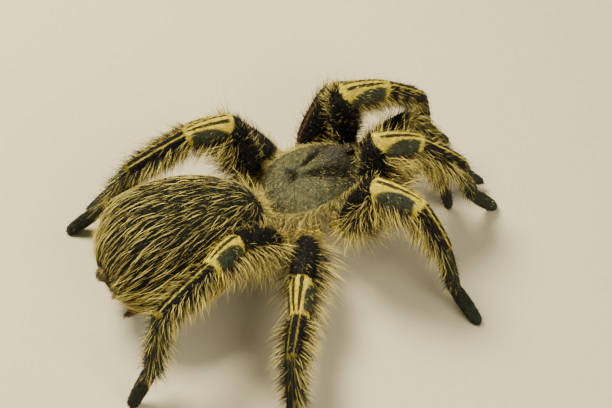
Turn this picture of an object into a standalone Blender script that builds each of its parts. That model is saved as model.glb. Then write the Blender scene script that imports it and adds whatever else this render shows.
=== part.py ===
"""A golden-knee tarantula, life size, standing still: one closed solid for each named part of its body.

The spider faces -Y, its left side is +X and +Z is up, with the floor at z = 0. Each solid reaches out
to the tips of the thick coat. Sizes are millimetres, and MM turns them into Blender's metres.
"""

import math

import bmesh
import bpy
from mathutils import Matrix, Vector

MM = 0.001
GAP = 0.3  # clear space between neighbouring solids

# The carapace's length drives the body, and the body drives where the limbs start.
CARAPACE_LENGTH = 27.0
CARAPACE_WIDTH = 24.6
CARAPACE_HEIGHT = 5.3
CAPUT_HEIGHT = 2.2  # how far the head region swells above that dome
CARAPACE_RIM = -0.6  # height of the carapace's lower edge
BODY_AT = Vector((11.874, -7.847, 17.0))
BODY_PITCH = math.radians(11.0)  # head up
BODY_ROLL = math.radians(4.3)  # right side up

UNDERSIDE_TOP = CARAPACE_RIM - GAP
STERNUM_SIZE = (15.0, 22.0, 9.0)
STERNUM_AT = Vector((0.0, -0.5, -3.6))
COXA_INSET = 0.55  # the point that a coxa aims away from, as a share of the way out to its leg
COXA_SPREAD = 0.72  # the same point's distance from the middle of the body's length, as such a share
COXA_LENGTH = 9.5
COXA_RADII = (2.1, 0.25, 2.2)
COXA_DROP = 2.4  # how much lower a coxa's inner end aims than its outer end

ABDOMEN_SIZE = (35.5, 44.5, 30.4)
ABDOMEN_AT = BODY_AT + Vector((-9.0, 36.2, 0.9))
ABDOMEN_YAW = math.radians(14.0)
ABDOMEN_EGG = 0.13  # how much fuller the rear half is than the front half

# Femur, patella, tibia, metatarsus and tarsus of each leg, from the first to the fourth.
LEG_PARTS = ("femur", "patella", "tibia", "metatarsus", "tarsus")
LEG_LENGTHS = {
    1: (20.4, 12.6, 16.2, 13.2, 10.2),
    2: (18.6, 11.6, 13.6, 12.6, 10.0),
    3: (16.2, 10.2, 11.6, 13.8, 9.6),
    4: (20.4, 11.4, 16.8, 19.0, 10.8),
}
PALP_PARTS = ("femur", "patella", "tibia", "tarsus")
PALP_LENGTHS = (15.0, 9.4, 10.6, 10.6)
PALP_SLIMNESS = 0.77
# Radius at the near end, swell in the middle and radius at the far end, coat included.
PART_RADII = {
    "femur": (2.4, 1.0, 2.9),
    "patella": (2.6, 0.5, 2.5),
    "tibia": (2.3, 0.3, 2.1),
    "metatarsus": (2.0, 0.1, 1.8),
    "tarsus": (1.8, 0.1, 1.6),
}
# The fringe below a limb makes its lower half deeper than its upper half by this factor.
PART_BELLY = {"femur": 1.3, "patella": 1.3, "tibia": 1.35, "metatarsus": 1.2, "tarsus": 1.0}
LIMB_SIDES = 10
LIMB_RINGS = 8
LIMB_BLUNTNESS = 3.2

# Where each limb leaves the body (left side; the right side mirrors it).
LEG_ROOTS = {
    1: Vector((11.5, -11.8, -2.5)),
    2: Vector((15.5, -3.6, -3.0)),
    3: Vector((15.3, 6.5, -3.0)),
    4: Vector((12.5, 13.8, -2.5)),
}
COXA_SWINGS = {("left", 2): 2.6}  # how far back the far end of one coxa is swung
PALP_ROOT = Vector((8.1, -14.9, -4.0))

# (azimuth, elevation) in degrees of each part of a limb: azimuth 0 is straight out, 90 is forward.
LEG_POSES = {
    ("left", 1): ((23, 98), (80, -17), (70, -42), (76, -82), (76, -50)),
    ("left", 2): ((82, 62), (73, -28), (52, -39), (46, -41), (44, -39)),
    ("left", 3): ((-58, 36), (-75, -8), (-89, -27), (-95, -38), (-98, -32.5)),
    ("left", 4): ((-84, 78), (-87, -6), (-92, -22), (-68, -58), (-81, -37)),
    ("right", 1): ((95, 87), (96, -24), (90, -45), (90, -73), (97, -51)),
    ("right", 2): ((49, 66), (49, -10), (47, -60), (28, -72), (28, -39)),
    ("right", 3): ((-22, 12), (-20, -6), (-24, 1), (-24, -76), (-22, -14)),
    ("right", 4): ((-53, 42), (-46, 15), (-57, -3), (-83, -76), (-77, -57)),
}
PALP_POSES = {
    "left": ((96, 36), (104, -43), (106, -70), (128, -26)),
    "right": ((100, 56), (96, -45), (90, -74), (88, -80)),
}

CHELICERA_ROOT = Vector((2.75, -14.2, 0.2))
CHELICERA_TIP = Vector((2.75, -20.6, -2.6))
CHELICERA_RADII = (2.3, 0.25, 1.9)
CHELICERA_HEIGHT = 1.55  # height over width
FANG_ROOT = Vector((2.75, -19.6, -6.6))
FANG_ARC = 5.6  # radius of the curve that a fang follows
FANG_TURN = math.radians(84.0)
FANG_RADII = (1.0, 0.32)

EYE_MOUND_AT = Vector((0.0, -11.0, 6.6))
EYE_MOUND_SIZE = (3.4, 2.8, 2.8)
EYE_MOUND_LIFT = 0.45  # from the mound's middle down to its flat, which follows the carapace's front slope
EYE_MOUND_SLOPE = math.radians(38.0)

PEDICEL_LENGTH = 3.6
PEDICEL_RADIUS = 1.7
SPINNERET_ROOT = Vector((2.3, 14.6, -13.9))
SPINNERET_LENGTH = 5.2
SPINNERET_RADII = (1.5, 0.1, 0.75)
SPINNERET_SPREAD = math.radians(16.0)

COLOURS = {
    "dark_velvet": ((0.035, 0.033, 0.028), 0.85),
    "golden_knee": ((0.42, 0.33, 0.13), 0.8),
    "olive_carapace": ((0.13, 0.12, 0.08), 0.7),
    "tan_underside": ((0.28, 0.21, 0.13), 0.85),
    "abdomen_coat": ((0.12, 0.095, 0.06), 0.9),
    "black_claw": ((0.015, 0.012, 0.01), 0.25),
    "eye_black": ((0.01, 0.01, 0.012), 0.1),
}


def clear_scene():
    for item in list(bpy.data.objects):
        bpy.data.objects.remove(item, do_unlink=True)


def new_collection(name, hidden=False):
    collection = bpy.data.collections.new(name)
    collection.hide_render = hidden
    bpy.context.scene.collection.children.link(collection)
    return collection


def material_of(name):
    found = bpy.data.materials.get(name)
    if found:
        return found
    colour, roughness = COLOURS[name]
    material = bpy.data.materials.new(name)
    material.use_nodes = True
    shader = material.node_tree.nodes["Principled BSDF"]
    shader.inputs["Base Color"].default_value = (*colour, 1.0)
    shader.inputs["Roughness"].default_value = roughness
    shader.inputs["Metallic"].default_value = 0.0
    return material


def finish(bm, name, colour, collection):
    """Turns a mesh that was worked out in millimetres into a named object."""
    bmesh.ops.scale(bm, vec=Vector((MM, MM, MM)), verts=bm.verts)
    bmesh.ops.recalc_face_normals(bm, faces=bm.faces)
    mesh = bpy.data.meshes.new(name)
    bm.to_mesh(mesh)
    bm.free()
    mesh.materials.append(material_of(colour))
    item = bpy.data.objects.new(name, mesh)
    collection.objects.link(item)
    return item


def boolean(item, operation, other):
    """Adds an exact Boolean with one object, or with all the objects of a collection."""
    modifier = item.modifiers.new(operation.lower(), "BOOLEAN")
    modifier.operation = operation
    modifier.solver = "EXACT"
    if isinstance(other, bpy.types.Collection):
        modifier.operand_type = "COLLECTION"
        modifier.collection = other
    else:
        modifier.object = other


def body_frame():
    """From the cephalothorax's own axes to the world, in millimetres."""
    pitch = Matrix.Rotation(-BODY_PITCH, 4, "X")
    roll = Matrix.Rotation(BODY_ROLL, 4, "Y")
    return Matrix.Translation(BODY_AT) @ pitch @ roll


def abdomen_frame():
    return Matrix.Translation(ABDOMEN_AT) @ Matrix.Rotation(ABDOMEN_YAW, 4, "Z")


def mirrored(point, side):
    return Vector((point.x if side == "left" else -point.x, point.y, point.z))


def heading(side, azimuth, elevation):
    """Unit vector of a limb part from its pose angles in degrees."""
    turn = math.radians(azimuth)
    lift = math.radians(elevation)
    out = math.cos(turn) * math.cos(lift)
    return Vector((out if side == "left" else -out, -math.sin(turn) * math.cos(lift), math.sin(lift)))


def leg_root(side, number):
    """Where a leg leaves its coxa, given for the left side."""
    return LEG_ROOTS[number] + Vector((0.0, COXA_SWINGS.get((side, number), 0.0), 0.0))


def joint_points(root, side, lengths, poses):
    points = [root]
    for length, (azimuth, elevation) in zip(lengths, poses):
        points.append(points[-1] + length * heading(side, azimuth, elevation))
    return points


def axes_along(start, end, towards_back):
    """Rotation whose Z runs from start to end and whose Y is the limb's back."""
    along = (end - start).normalized()
    side = towards_back.cross(along).normalized()
    back = along.cross(side)
    return Matrix((side, back, along)).transposed().to_4x4()


def capsule(start, end, back, radii, belly=1.0, sides=LIMB_SIDES, rings=LIMB_RINGS, overrun=(0.8, 0.8)):
    """A blunt-ended limb part between two joints, running past each by a share of its radius there."""
    near, swell, far = radii
    first = start - (end - start).normalized() * near * overrun[0]
    last = end + (end - start).normalized() * far * overrun[1]
    length = (last - first).length
    bm = bmesh.new()
    bmesh.ops.create_uvsphere(bm, u_segments=sides, v_segments=rings, radius=1.0)
    for vert in bm.verts:
        height = max(-1.0, min(1.0, vert.co.z))
        share = 0.5 + 0.5 * height
        radius = near + (far - near) * share + swell * math.sin(math.pi * share)
        radius *= (1.0 - abs(height) ** LIMB_BLUNTNESS) ** (1.0 / LIMB_BLUNTNESS)
        flat = Vector((vert.co.x, vert.co.y))
        if flat.length > 1e-6:
            flat = flat.normalized() * radius
        if flat.y < 0.0:
            flat.y *= belly
        vert.co = Vector((flat.x, flat.y, share * length))
    bmesh.ops.transform(bm, matrix=Matrix.Translation(first) @ axes_along(start, end, back), verts=bm.verts)
    return bm


def cut(bm, point, outward):
    """Removes what lies beyond a plane and closes the opening."""
    geometry = bm.verts[:] + bm.edges[:] + bm.faces[:]
    done = bmesh.ops.bisect_plane(
        bm, geom=geometry, dist=1e-4, plane_co=point, plane_no=outward, clear_outer=True
    )
    rim = [part for part in done["geom_cut"] if isinstance(part, bmesh.types.BMEdge)]
    bmesh.ops.holes_fill(bm, edges=rim, sides=0)


def cut_at_joint(bm, joint, arriving, leaving, keep_arriving):
    """Mitres a limb part where it meets the next one, half a gap short of the joint."""
    outward = (arriving + leaving).normalized()
    if not keep_arriving:
        outward = -outward
    cut(bm, joint - outward * GAP / 2, outward)


def limb(prefix, parts, points, entry, slimness, colours, collection):
    """All the parts of one leg or palp. entry is the direction in which the coxa arrives."""
    for index, part in enumerate(parts):
        start, end = points[index], points[index + 1]
        along = (end - start).normalized()
        flat_along = Vector((along.x, along.y, 0.0))
        back = Vector((0.0, 0.0, 1.0)) if along.z < 0.8 else -flat_along.normalized()
        if abs(along.z) >= 0.8 and along.z < 0.0:
            back = flat_along.normalized()
        radii = tuple(slimness * radius for radius in PART_RADII[part])
        bm = capsule(start, end, back, radii, PART_BELLY[part])
        arriving = entry if index == 0 else (start - points[index - 1]).normalized()
        cut_at_joint(bm, start, arriving, along, keep_arriving=False)
        if index + 1 < len(parts):
            leaving = (points[index + 2] - end).normalized()
            cut_at_joint(bm, end, along, leaving, keep_arriving=True)
        if min(vert.co.z for vert in bm.verts) < 0.0:
            cut(bm, Vector(), Vector((0.0, 0.0, -1.0)))
        finish(bm, f"{prefix}_{part}", colours.get(part, "dark_velvet"), collection)


def make_legs(frame, collection):
    for (side, number), poses in LEG_POSES.items():
        start = leg_root(side, number)
        root = frame @ mirrored(start, side)
        entry = coxa_direction(frame, start, side)
        points = joint_points(root, side, LEG_LENGTHS[number], poses)
        limb(f"leg_{side}_{number}", LEG_PARTS, points, entry, 1.0, {"patella": "golden_knee"}, collection)


def make_palps(frame, collection):
    for side, poses in PALP_POSES.items():
        root = frame @ mirrored(PALP_ROOT, side)
        entry = coxa_direction(frame, PALP_ROOT, side)
        points = joint_points(root, side, PALP_LENGTHS, poses)
        colours = {"patella": "golden_knee"}
        limb(f"palp_{side}", PALP_PARTS, points, entry, PALP_SLIMNESS, colours, collection)


def carapace_half_width(along):
    """Half width at a place along the carapace, -1 at the front and 1 at the rear."""
    rear = (1.0 - abs(along) ** 2.6) ** 0.5
    taper = 1.0 - 0.17 * max(0.0, -along) ** 0.8
    front = 0.55 * max(0.0, -along) ** 6
    return CARAPACE_WIDTH / 2 * max(rear * taper, front)


def carapace_height(across, along):
    """Height of the carapace above its rim; across and along both run from -1 to 1."""
    dome = CARAPACE_HEIGHT * max(0.0, 1.0 - across**2) ** 0.62
    ends = max(0.0, 1.0 - abs(along) ** 5) ** 0.5
    caput = CAPUT_HEIGHT * math.exp(-(((along + 0.62) / 0.42) ** 2) - (across / 0.55) ** 2)
    return (dome + caput) * ends


def make_carapace(frame, collection):
    columns, rows = 14, 13
    bm = bmesh.new()
    bmesh.ops.create_grid(bm, x_segments=columns, y_segments=rows, size=1.0)
    for vert in bm.verts:
        across = math.sin(vert.co.x * math.pi / 2)
        along = math.sin(vert.co.y * math.pi / 2 * 0.985)
        half = carapace_half_width(along)
        height = carapace_height(across, along)
        vert.co = Vector((across * half, along * CARAPACE_LENGTH / 2, CARAPACE_RIM + 0.7 + height))
    rim = [edge for edge in bm.edges if edge.is_boundary]
    walls = bmesh.ops.extrude_edge_only(bm, edges=rim)["geom"]
    for part in walls:
        if isinstance(part, bmesh.types.BMVert):
            part.co.z = CARAPACE_RIM
    bottom = [edge for edge in bm.edges if edge.is_boundary]
    bmesh.ops.holes_fill(bm, edges=bottom, sides=0)
    bmesh.ops.transform(bm, matrix=frame, verts=bm.verts)
    finish(bm, "carapace", "olive_carapace", collection)


def coxa_direction(frame, root, side):
    """The way a coxa points, from the sternum out to where its leg or palp starts."""
    inner = mirrored(Vector((root.x * COXA_INSET, root.y * COXA_SPREAD, root.z - COXA_DROP)), side)
    outer = mirrored(root, side)
    return (frame.to_3x3() @ (outer - inner)).normalized()


def make_coxa(frame, root, side, slimness, leaving, name, cutters):
    """One coxa, cut off square half a gap before the limb that it carries."""
    outer = frame @ mirrored(root, side)
    along = coxa_direction(frame, root, side)
    inner = outer - along * COXA_LENGTH
    radii = tuple(slimness * radius for radius in COXA_RADII)
    up = frame.to_3x3() @ Vector((0.0, 0.0, 1.0))
    bm = capsule(inner, outer, up, radii, sides=8, rings=6)
    cut_at_joint(bm, outer, along, leaving, keep_arriving=True)
    finish(bm, name, "tan_underside", cutters)


def make_underside(frame, collection, coxae, cutters):
    """The sternum with the ten coxae, united into one solid that is level under the carapace."""
    bm = bmesh.new()
    bmesh.ops.create_uvsphere(bm, u_segments=16, v_segments=8, radius=0.5)
    bmesh.ops.scale(bm, vec=Vector(STERNUM_SIZE), verts=bm.verts)
    bmesh.ops.translate(bm, vec=STERNUM_AT, verts=bm.verts)
    bmesh.ops.transform(bm, matrix=frame, verts=bm.verts)
    underside = finish(bm, "underside", "tan_underside", collection)
    for (side, number), poses in LEG_POSES.items():
        leaving = heading(side, *poses[0])
        make_coxa(frame, leg_root(side, number), side, 1.0, leaving, f"coxa_{side}_{number}", coxae)
    for side, poses in PALP_POSES.items():
        leaving = heading(side, *poses[0])
        make_coxa(frame, PALP_ROOT, side, PALP_SLIMNESS, leaving, f"coxa_{side}_palp", coxae)
    lid = bmesh.new()
    bmesh.ops.create_cube(lid, size=2 * CARAPACE_LENGTH)
    bmesh.ops.translate(lid, vec=Vector((0.0, 0.0, UNDERSIDE_TOP + CARAPACE_LENGTH)), verts=lid.verts)
    bmesh.ops.transform(lid, matrix=frame, verts=lid.verts)
    boolean(underside, "UNION", coxae)
    boolean(underside, "DIFFERENCE", finish(lid, "cutter_lid", "tan_underside", cutters))


def make_leg_grooves(frame, grooves):
    """The room that the right hind femur and patella take from the abdomen's coat, with a gap all round."""
    root = frame @ mirrored(leg_root("right", 4), "right")
    points = joint_points(root, "right", LEG_LENGTHS[4], LEG_POSES["right", 4])
    for index, part in enumerate(LEG_PARTS[:2]):
        radii = tuple(radius + 1.5 * GAP for radius in PART_RADII[part])
        up = Vector((0.0, 0.0, 1.0))
        bm = capsule(points[index], points[index + 1], up, radii, PART_BELLY[part], overrun=(1.1, 1.1))
        finish(bm, f"cutter_groove_{part}", "abdomen_coat", grooves)


def make_abdomen(frame, collection, grooves):
    bm = bmesh.new()
    bmesh.ops.create_uvsphere(bm, u_segments=22, v_segments=14, radius=0.5)
    bmesh.ops.rotate(bm, matrix=Matrix.Rotation(math.pi / 2, 3, "X"), verts=bm.verts)
    for vert in bm.verts:
        fuller = 1.0 + ABDOMEN_EGG * math.sin(2.0 * vert.co.y * math.pi / 2)
        vert.co = Vector((
            vert.co.x * ABDOMEN_SIZE[0] * fuller,
            vert.co.y * ABDOMEN_SIZE[1],
            vert.co.z * ABDOMEN_SIZE[2] * fuller,
        ))
    bmesh.ops.transform(bm, matrix=frame, verts=bm.verts)
    abdomen = finish(bm, "abdomen", "abdomen_coat", collection)
    boolean(abdomen, "DIFFERENCE", grooves)


def make_pedicel(frame, collection):
    start = frame @ Vector((0.0, CARAPACE_LENGTH / 2 - 1.6, -4.4))
    end = start + Vector((-0.3, PEDICEL_LENGTH, 0.2))
    radii = (PEDICEL_RADIUS, 0.0, PEDICEL_RADIUS)
    bm = capsule(start, end, Vector((0.0, 0.0, 1.0)), radii, sides=8, rings=6)
    finish(bm, "pedicel", "dark_velvet", collection)


def make_chelicerae(frame, collection):
    for side in ("left", "right"):
        start = frame @ mirrored(CHELICERA_ROOT, side)
        end = frame @ mirrored(CHELICERA_TIP, side)
        back = frame.to_3x3() @ Vector((0.0, 0.0, 1.0))
        bm = capsule(start, end, back, CHELICERA_RADII, sides=12)
        lift = axes_along(start, end, back)
        bmesh.ops.translate(bm, vec=-start, verts=bm.verts)
        bmesh.ops.transform(bm, matrix=lift.inverted(), verts=bm.verts)
        bmesh.ops.scale(bm, vec=Vector((1.0, CHELICERA_HEIGHT, 1.0)), verts=bm.verts)
        bmesh.ops.transform(bm, matrix=Matrix.Translation(start) @ lift, verts=bm.verts)
        face = frame @ Vector((0.0, -CARAPACE_LENGTH / 2 - GAP, 0.0))
        cut(bm, face, frame.to_3x3() @ Vector((0.0, 1.0, 0.0)))
        middle = frame @ Vector((0.0, 0.0, 0.0))
        sideways = frame.to_3x3() @ Vector((-1.0 if side == "left" else 1.0, 0.0, 0.0))
        cut(bm, middle - sideways * GAP / 2, sideways)
        finish(bm, f"chelicera_{side}", "dark_velvet", collection)


def make_fangs(frame, collection):
    """Curved cones folded back under the chelicerae, each swept round part of a circle."""
    steps, sides = 6, 8
    for side in ("left", "right"):
        root = mirrored(FANG_ROOT, side)
        bm = bmesh.new()
        rim = bmesh.ops.create_circle(bm, cap_ends=True, segments=sides, radius=FANG_RADII[0])["verts"]
        ring = list({edge for vert in rim for edge in vert.link_edges})
        shrink = (FANG_RADII[1] / FANG_RADII[0]) ** (1.0 / steps)
        hinge = Vector((0.0, FANG_ARC, 0.0))
        centre = Vector()
        for step in range(steps):
            grown = bmesh.ops.extrude_edge_only(bm, edges=ring)["geom"]
            verts = [part for part in grown if isinstance(part, bmesh.types.BMVert)]
            ring = [part for part in grown if isinstance(part, bmesh.types.BMEdge)]
            ring = [edge for edge in ring if all(vert in verts for vert in edge.verts)]
            turn = Matrix.Rotation(FANG_TURN / steps, 3, "X")
            bmesh.ops.rotate(bm, cent=hinge, matrix=turn, verts=verts)
            centre = hinge + turn @ (centre - hinge)
            for vert in verts:
                vert.co = centre + (vert.co - centre) * shrink
        bmesh.ops.holes_fill(bm, edges=ring, sides=0)
        bmesh.ops.transform(bm, matrix=frame @ Matrix.Translation(root), verts=bm.verts)
        finish(bm, f"fang_{side}", "black_claw", collection)


def make_eyes(frame, collection):
    """The low mound behind the face that carries the eight eyes."""
    bm = bmesh.new()
    bmesh.ops.create_uvsphere(bm, u_segments=14, v_segments=8, radius=0.5)
    bmesh.ops.scale(bm, vec=Vector(EYE_MOUND_SIZE), verts=bm.verts)
    bmesh.ops.translate(bm, vec=EYE_MOUND_AT, verts=bm.verts)
    down = Vector((0.0, math.sin(EYE_MOUND_SLOPE), -math.cos(EYE_MOUND_SLOPE)))
    cut(bm, EYE_MOUND_AT + down * EYE_MOUND_LIFT, down)
    bmesh.ops.transform(bm, matrix=frame, verts=bm.verts)
    finish(bm, "eyes", "eye_black", collection)


def make_spinnerets(frame, collection):
    for side, sign in (("left", 1.0), ("right", -1.0)):
        start = mirrored(SPINNERET_ROOT, side)
        way = Vector((sign * math.sin(SPINNERET_SPREAD), math.cos(SPINNERET_SPREAD), 0.1)).normalized()
        end = start + way * SPINNERET_LENGTH
        bm = capsule(start, end, Vector((0.0, 0.0, 1.0)), SPINNERET_RADII, sides=8, rings=6)
        bmesh.ops.transform(bm, matrix=frame, verts=bm.verts)
        finish(bm, f"spinneret_{side}", "dark_velvet", collection)


def main():
    clear_scene()
    parts = new_collection("tarantula")
    coxae = new_collection("coxae", hidden=True)
    grooves = new_collection("grooves", hidden=True)
    cutters = new_collection("cutters", hidden=True)
    body = body_frame()
    abdomen = abdomen_frame()
    make_carapace(body, parts)
    make_underside(body, parts, coxae, cutters)
    make_eyes(body, parts)
    make_chelicerae(body, parts)
    make_fangs(body, parts)
    make_pedicel(body, parts)
    make_leg_grooves(body, grooves)
    make_abdomen(abdomen, parts, grooves)
    make_spinnerets(abdomen, parts)
    make_legs(body, parts)
    make_palps(body, parts)
    for helper in (*coxae.objects, *grooves.objects, *cutters.objects):
        helper.hide_render = True
        helper.display_type = "WIRE"


main()
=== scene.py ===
"""Looks of a golden-knee tarantula, life size: skin, plates, eyes, fangs, claws and a coat of tufts.

The spider faces -Y, its left side is +X and +Z is up, with the floor at z = 0. Sizes are millimetres,
and MM turns them into Blender's metres.
"""

import math

import bpy
import numpy as np
from mathutils import Matrix, Vector


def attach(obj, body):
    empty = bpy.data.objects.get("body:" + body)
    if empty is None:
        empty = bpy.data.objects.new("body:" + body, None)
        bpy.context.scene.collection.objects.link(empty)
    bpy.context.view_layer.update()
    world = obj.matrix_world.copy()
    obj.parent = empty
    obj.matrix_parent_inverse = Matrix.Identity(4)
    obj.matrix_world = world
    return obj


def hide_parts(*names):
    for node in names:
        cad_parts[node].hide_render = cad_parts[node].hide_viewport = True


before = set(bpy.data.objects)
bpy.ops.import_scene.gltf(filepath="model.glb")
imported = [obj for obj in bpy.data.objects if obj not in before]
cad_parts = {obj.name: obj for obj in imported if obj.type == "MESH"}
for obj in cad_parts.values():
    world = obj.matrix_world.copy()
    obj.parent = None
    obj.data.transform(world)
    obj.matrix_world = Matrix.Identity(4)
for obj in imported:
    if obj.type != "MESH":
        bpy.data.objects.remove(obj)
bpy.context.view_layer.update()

MM = 0.001

# The stance, as the solids have it.
CARAPACE_LENGTH = 27.0
CARAPACE_WIDTH = 24.6
CARAPACE_HEIGHT = 5.3
PLATE_ACROSS, PLATE_ALONG = 120, 136  # faces of the carapace plate's top
CAPUT_HEIGHT = 2.2
CARAPACE_RIM = -0.6
BODY_AT = Vector((11.874, -7.847, 17.0))
BODY_PITCH = math.radians(11.0)
BODY_ROLL = math.radians(4.3)
STERNUM_SIZE = (15.0, 22.0, 9.0)
STERNUM_AT = Vector((0.0, -0.5, -3.6))
STERNUM_INSET = 1.4
LIP_AT = Vector((0.0, -12.4, -5.2))
LIP_SIZE = (3.4, 3.0, 3.0)
COXA_INSET = 0.55
COXA_SPREAD = 0.72
COXA_DROP = 2.4
COXA_LENGTH = 9.5
ABDOMEN_SIZE = (35.5, 44.5, 30.4)
ABDOMEN_AT = BODY_AT + Vector((-9.0, 36.2, 0.9))
ABDOMEN_YAW = math.radians(14.0)
ABDOMEN_EGG = 0.13
LEG_PARTS = ("femur", "patella", "tibia", "metatarsus", "tarsus")
LEG_LENGTHS = {
    1: (20.4, 12.6, 16.2, 13.2, 10.2),
    2: (18.6, 11.6, 13.6, 12.6, 10.0),
    3: (16.2, 10.2, 11.6, 13.8, 9.6),
    4: (20.4, 11.4, 16.8, 19.0, 10.8),
}
PALP_PARTS = ("femur", "patella", "tibia", "tarsus")
PALP_LENGTHS = (15.0, 9.4, 10.6, 10.6)
LEG_ROOTS = {
    1: Vector((11.5, -11.8, -2.5)),
    2: Vector((15.5, -3.6, -3.0)),
    3: Vector((15.3, 6.5, -3.0)),
    4: Vector((12.5, 13.8, -2.5)),
}
COXA_SWINGS = {("left", 2): 2.6}  # how far back the far end of one coxa is swung
PALP_ROOT = Vector((8.1, -14.9, -4.0))
# (azimuth, elevation) in degrees of each part of a limb: azimuth 0 is straight out, 90 is forward.
LEG_POSES = {
    ("left", 1): ((23, 98), (80, -17), (70, -42), (76, -82), (76, -50)),
    ("left", 2): ((82, 62), (73, -28), (52, -39), (46, -41), (44, -39)),
    ("left", 3): ((-58, 36), (-75, -8), (-89, -27), (-95, -38), (-98, -32.5)),
    ("left", 4): ((-84, 78), (-87, -6), (-92, -22), (-68, -58), (-81, -37)),
    ("right", 1): ((95, 87), (96, -24), (90, -45), (90, -73), (97, -51)),
    ("right", 2): ((49, 66), (49, -10), (47, -60), (28, -72), (28, -39)),
    ("right", 3): ((-22, 12), (-20, -6), (-24, 1), (-24, -76), (-22, -14)),
    ("right", 4): ((-53, 42), (-46, 15), (-57, -3), (-83, -76), (-77, -57)),
}
PALP_POSES = {
    "left": ((96, 36), (104, -43), (106, -70), (128, -26)),
    "right": ((100, 56), (96, -45), (90, -74), (88, -80)),
}
# How far the back of a leg is rolled away from its forward flank, in degrees.
ROLLS = {("right", 1): -10.0, ("right", 2): -22.0, ("right", 3): 16.0, ("right", 4): 24.0}
CHELICERA_ROOT = Vector((2.75, -14.2, 0.2))
CHELICERA_TIP = Vector((2.75, -20.6, -2.6))
CHELICERA_HEIGHT = 1.55
JAW_LENGTH = 7.8
JAW_RADIUS = 1.9
FANG_ROOT = Vector((2.75, -19.6, -6.6))
FANG_ARC = 5.6
FANG_TURN = 84.0
FANG_RADIUS = 0.95
CLAW_RADIUS = 0.2
CLAW_ARC = 0.9
CLAW_TURN = 80.0
EYE_MOUND_AT = Vector((0.0, -11.0, 6.6))
EYE_MOUND_SIZE = (3.3, 2.7, 2.7)
PEDICEL_AT = Vector((0.0, 11.9, -4.4))
TUBERCLE_AT = Vector((0.3, 20.3, 0.4))  # the brown knob at the end of the abdomen
TUBERCLE_SIZE = (4.6, 4.9, 4.4)
TUBERCLE_REACH = 2.7
SPINNING_FIELD_AT = Vector((0.0, 13.6, -11.4))  # the low swelling that the spinnerets stand on
SPINNING_FIELD_SIZE = (8.6, 6.0, 6.4)
SPINNERET_ROOT = Vector((2.3, 14.6, -13.9))
SPINNERET_LENGTH = 5.2
SPINNERET_SPREAD = math.radians(16.0)

# The flesh lies inside the solids by the depth of the coat: its radius near, in the middle and far.
FLESH_RADII = {
    "coxa": (1.55, 1.8, 1.9),
    "femur": (2.05, 3.25, 2.45),
    "patella": (2.5, 2.9, 2.1),
    "tibia": (1.95, 2.2, 1.75),
    "metatarsus": (1.55, 1.65, 1.4),
    "tarsus": (1.4, 1.6, 1.25),
}
# How much deeper than its back the belly of a part is, and how far its domed ends pass the joints.
FLESH_BELLY = {"coxa": 1.1, "femur": 1.28, "patella": 1.42, "tibia": 1.25, "metatarsus": 1.15, "tarsus": 1.0}
FLESH_ENDS = {"coxa": 0.1, "femur": 0.05, "patella": 0.1, "tibia": 0.05, "metatarsus": 0.05, "tarsus": 0.08}
FLESH_DEPTH = 1.08
PALP_SLIMNESS = 0.8
ABDOMEN_COAT = 0.9
SKIN_VOXEL = 0.44
SOLE_HEIGHT = 0.25
FLOOR_CLEARANCE = 0.05

# How strong the markings are on a pair of legs or on the palps, where it isn't the common strength.
FEMUR_LINE = {"2": 1.0}
PATELLA_GOLD = {"palp": 0.16}
TIBIA_LINES = {"palp": 0.16, "3": 0.35, "4": 0.8}

# The coat of the limbs, from femur to tarsus: hairs to a square millimetre, degrees of rise and length.
DOWN_DENSITY = (7.0, 12.0, 9.0, 9.0, 12.0)
DOWN_RISE = (32.0, 18.0, 24.0, 26.0, 30.0)
DOWN_LENGTH = (1.3, 0.95, 1.05, 1.1, 0.95)
BRISTLE_DENSITY = (1.5, 0.8, 0.8, 0.9, 0.5)
BRISTLE_LENGTH = (2.9, 1.6, 2.4, 2.0, 1.3)
BRISTLE_PALE = (0.4, 0.7, 0.6, 0.25, 0.1)  # the share of pale bristles
FRINGE_PALE = (0.9, 0.9, 0.9, 0.55, 0.9)
FRINGES = ((1.3, 0.62, 0.0, 0.075), (1.0, 1.0, 0.95, 0.052))  # amount, share of the length, tone, radius
SHAGGY = {"3": 1.0, "4": 1.0}  # the rear legs have the fullest fringe
ABDOMEN_STRANDS = ((2.9, 0.058, 1.0), (1.9, 0.036, 0.9))  # spacing, radius, tone
MOUND_HAIR = ((5.4, 8.0, 7.0, 0.6, 25.0), (5.2, 6.0, 3.0, 1.9, 55.0))  # from, to, density, length, rise
HAIR_TOP = 41.0  # no hair stands higher than this
CURL_RATE = 7.5
TUFT_PATCH = 0.003  # the size of a tuft on its piece's unwrap

SIDES = ("left", "right")
HARD_NODES = {"carapace", "eyes", "fang_left", "fang_right"}
UPWARD = np.array([0.0, 0.0, 1.0])
JOINT_STEP = 1.5  # how fast a limb's part gives way past a joint
ABDOMEN_WIDTH_MEAN = 34.0
STERNUM_WIDTH_MEAN = 12.0

rng = np.random.default_rng(27)


# ---------------------------------------------------------------- frames and bones


def body_frame():
    """From the cephalothorax's own axes to the world, in millimetres."""
    pitch = Matrix.Rotation(-BODY_PITCH, 4, "X")
    roll = Matrix.Rotation(BODY_ROLL, 4, "Y")
    return Matrix.Translation(BODY_AT) @ pitch @ roll


def abdomen_frame():
    return Matrix.Translation(ABDOMEN_AT) @ Matrix.Rotation(ABDOMEN_YAW, 4, "Z")


def rows_of(matrix):
    return np.array(matrix, float)


BODY = body_frame()
BODY_AXES = rows_of(BODY)[:3, :3]
BODY_UP = BODY.to_3x3() @ Vector((0.0, 0.0, 1.0))
ABDOMEN = abdomen_frame()
ABDOMEN_AXES = rows_of(ABDOMEN)[:3, :3]
ABDOMEN_FLOW = ABDOMEN_AXES[:, 1] - 0.3 * ABDOMEN_AXES[:, 2]  # the way that the abdomen's hair runs


def mirrored(point, side):
    return Vector((point.x if side == "left" else -point.x, point.y, point.z))


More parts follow.
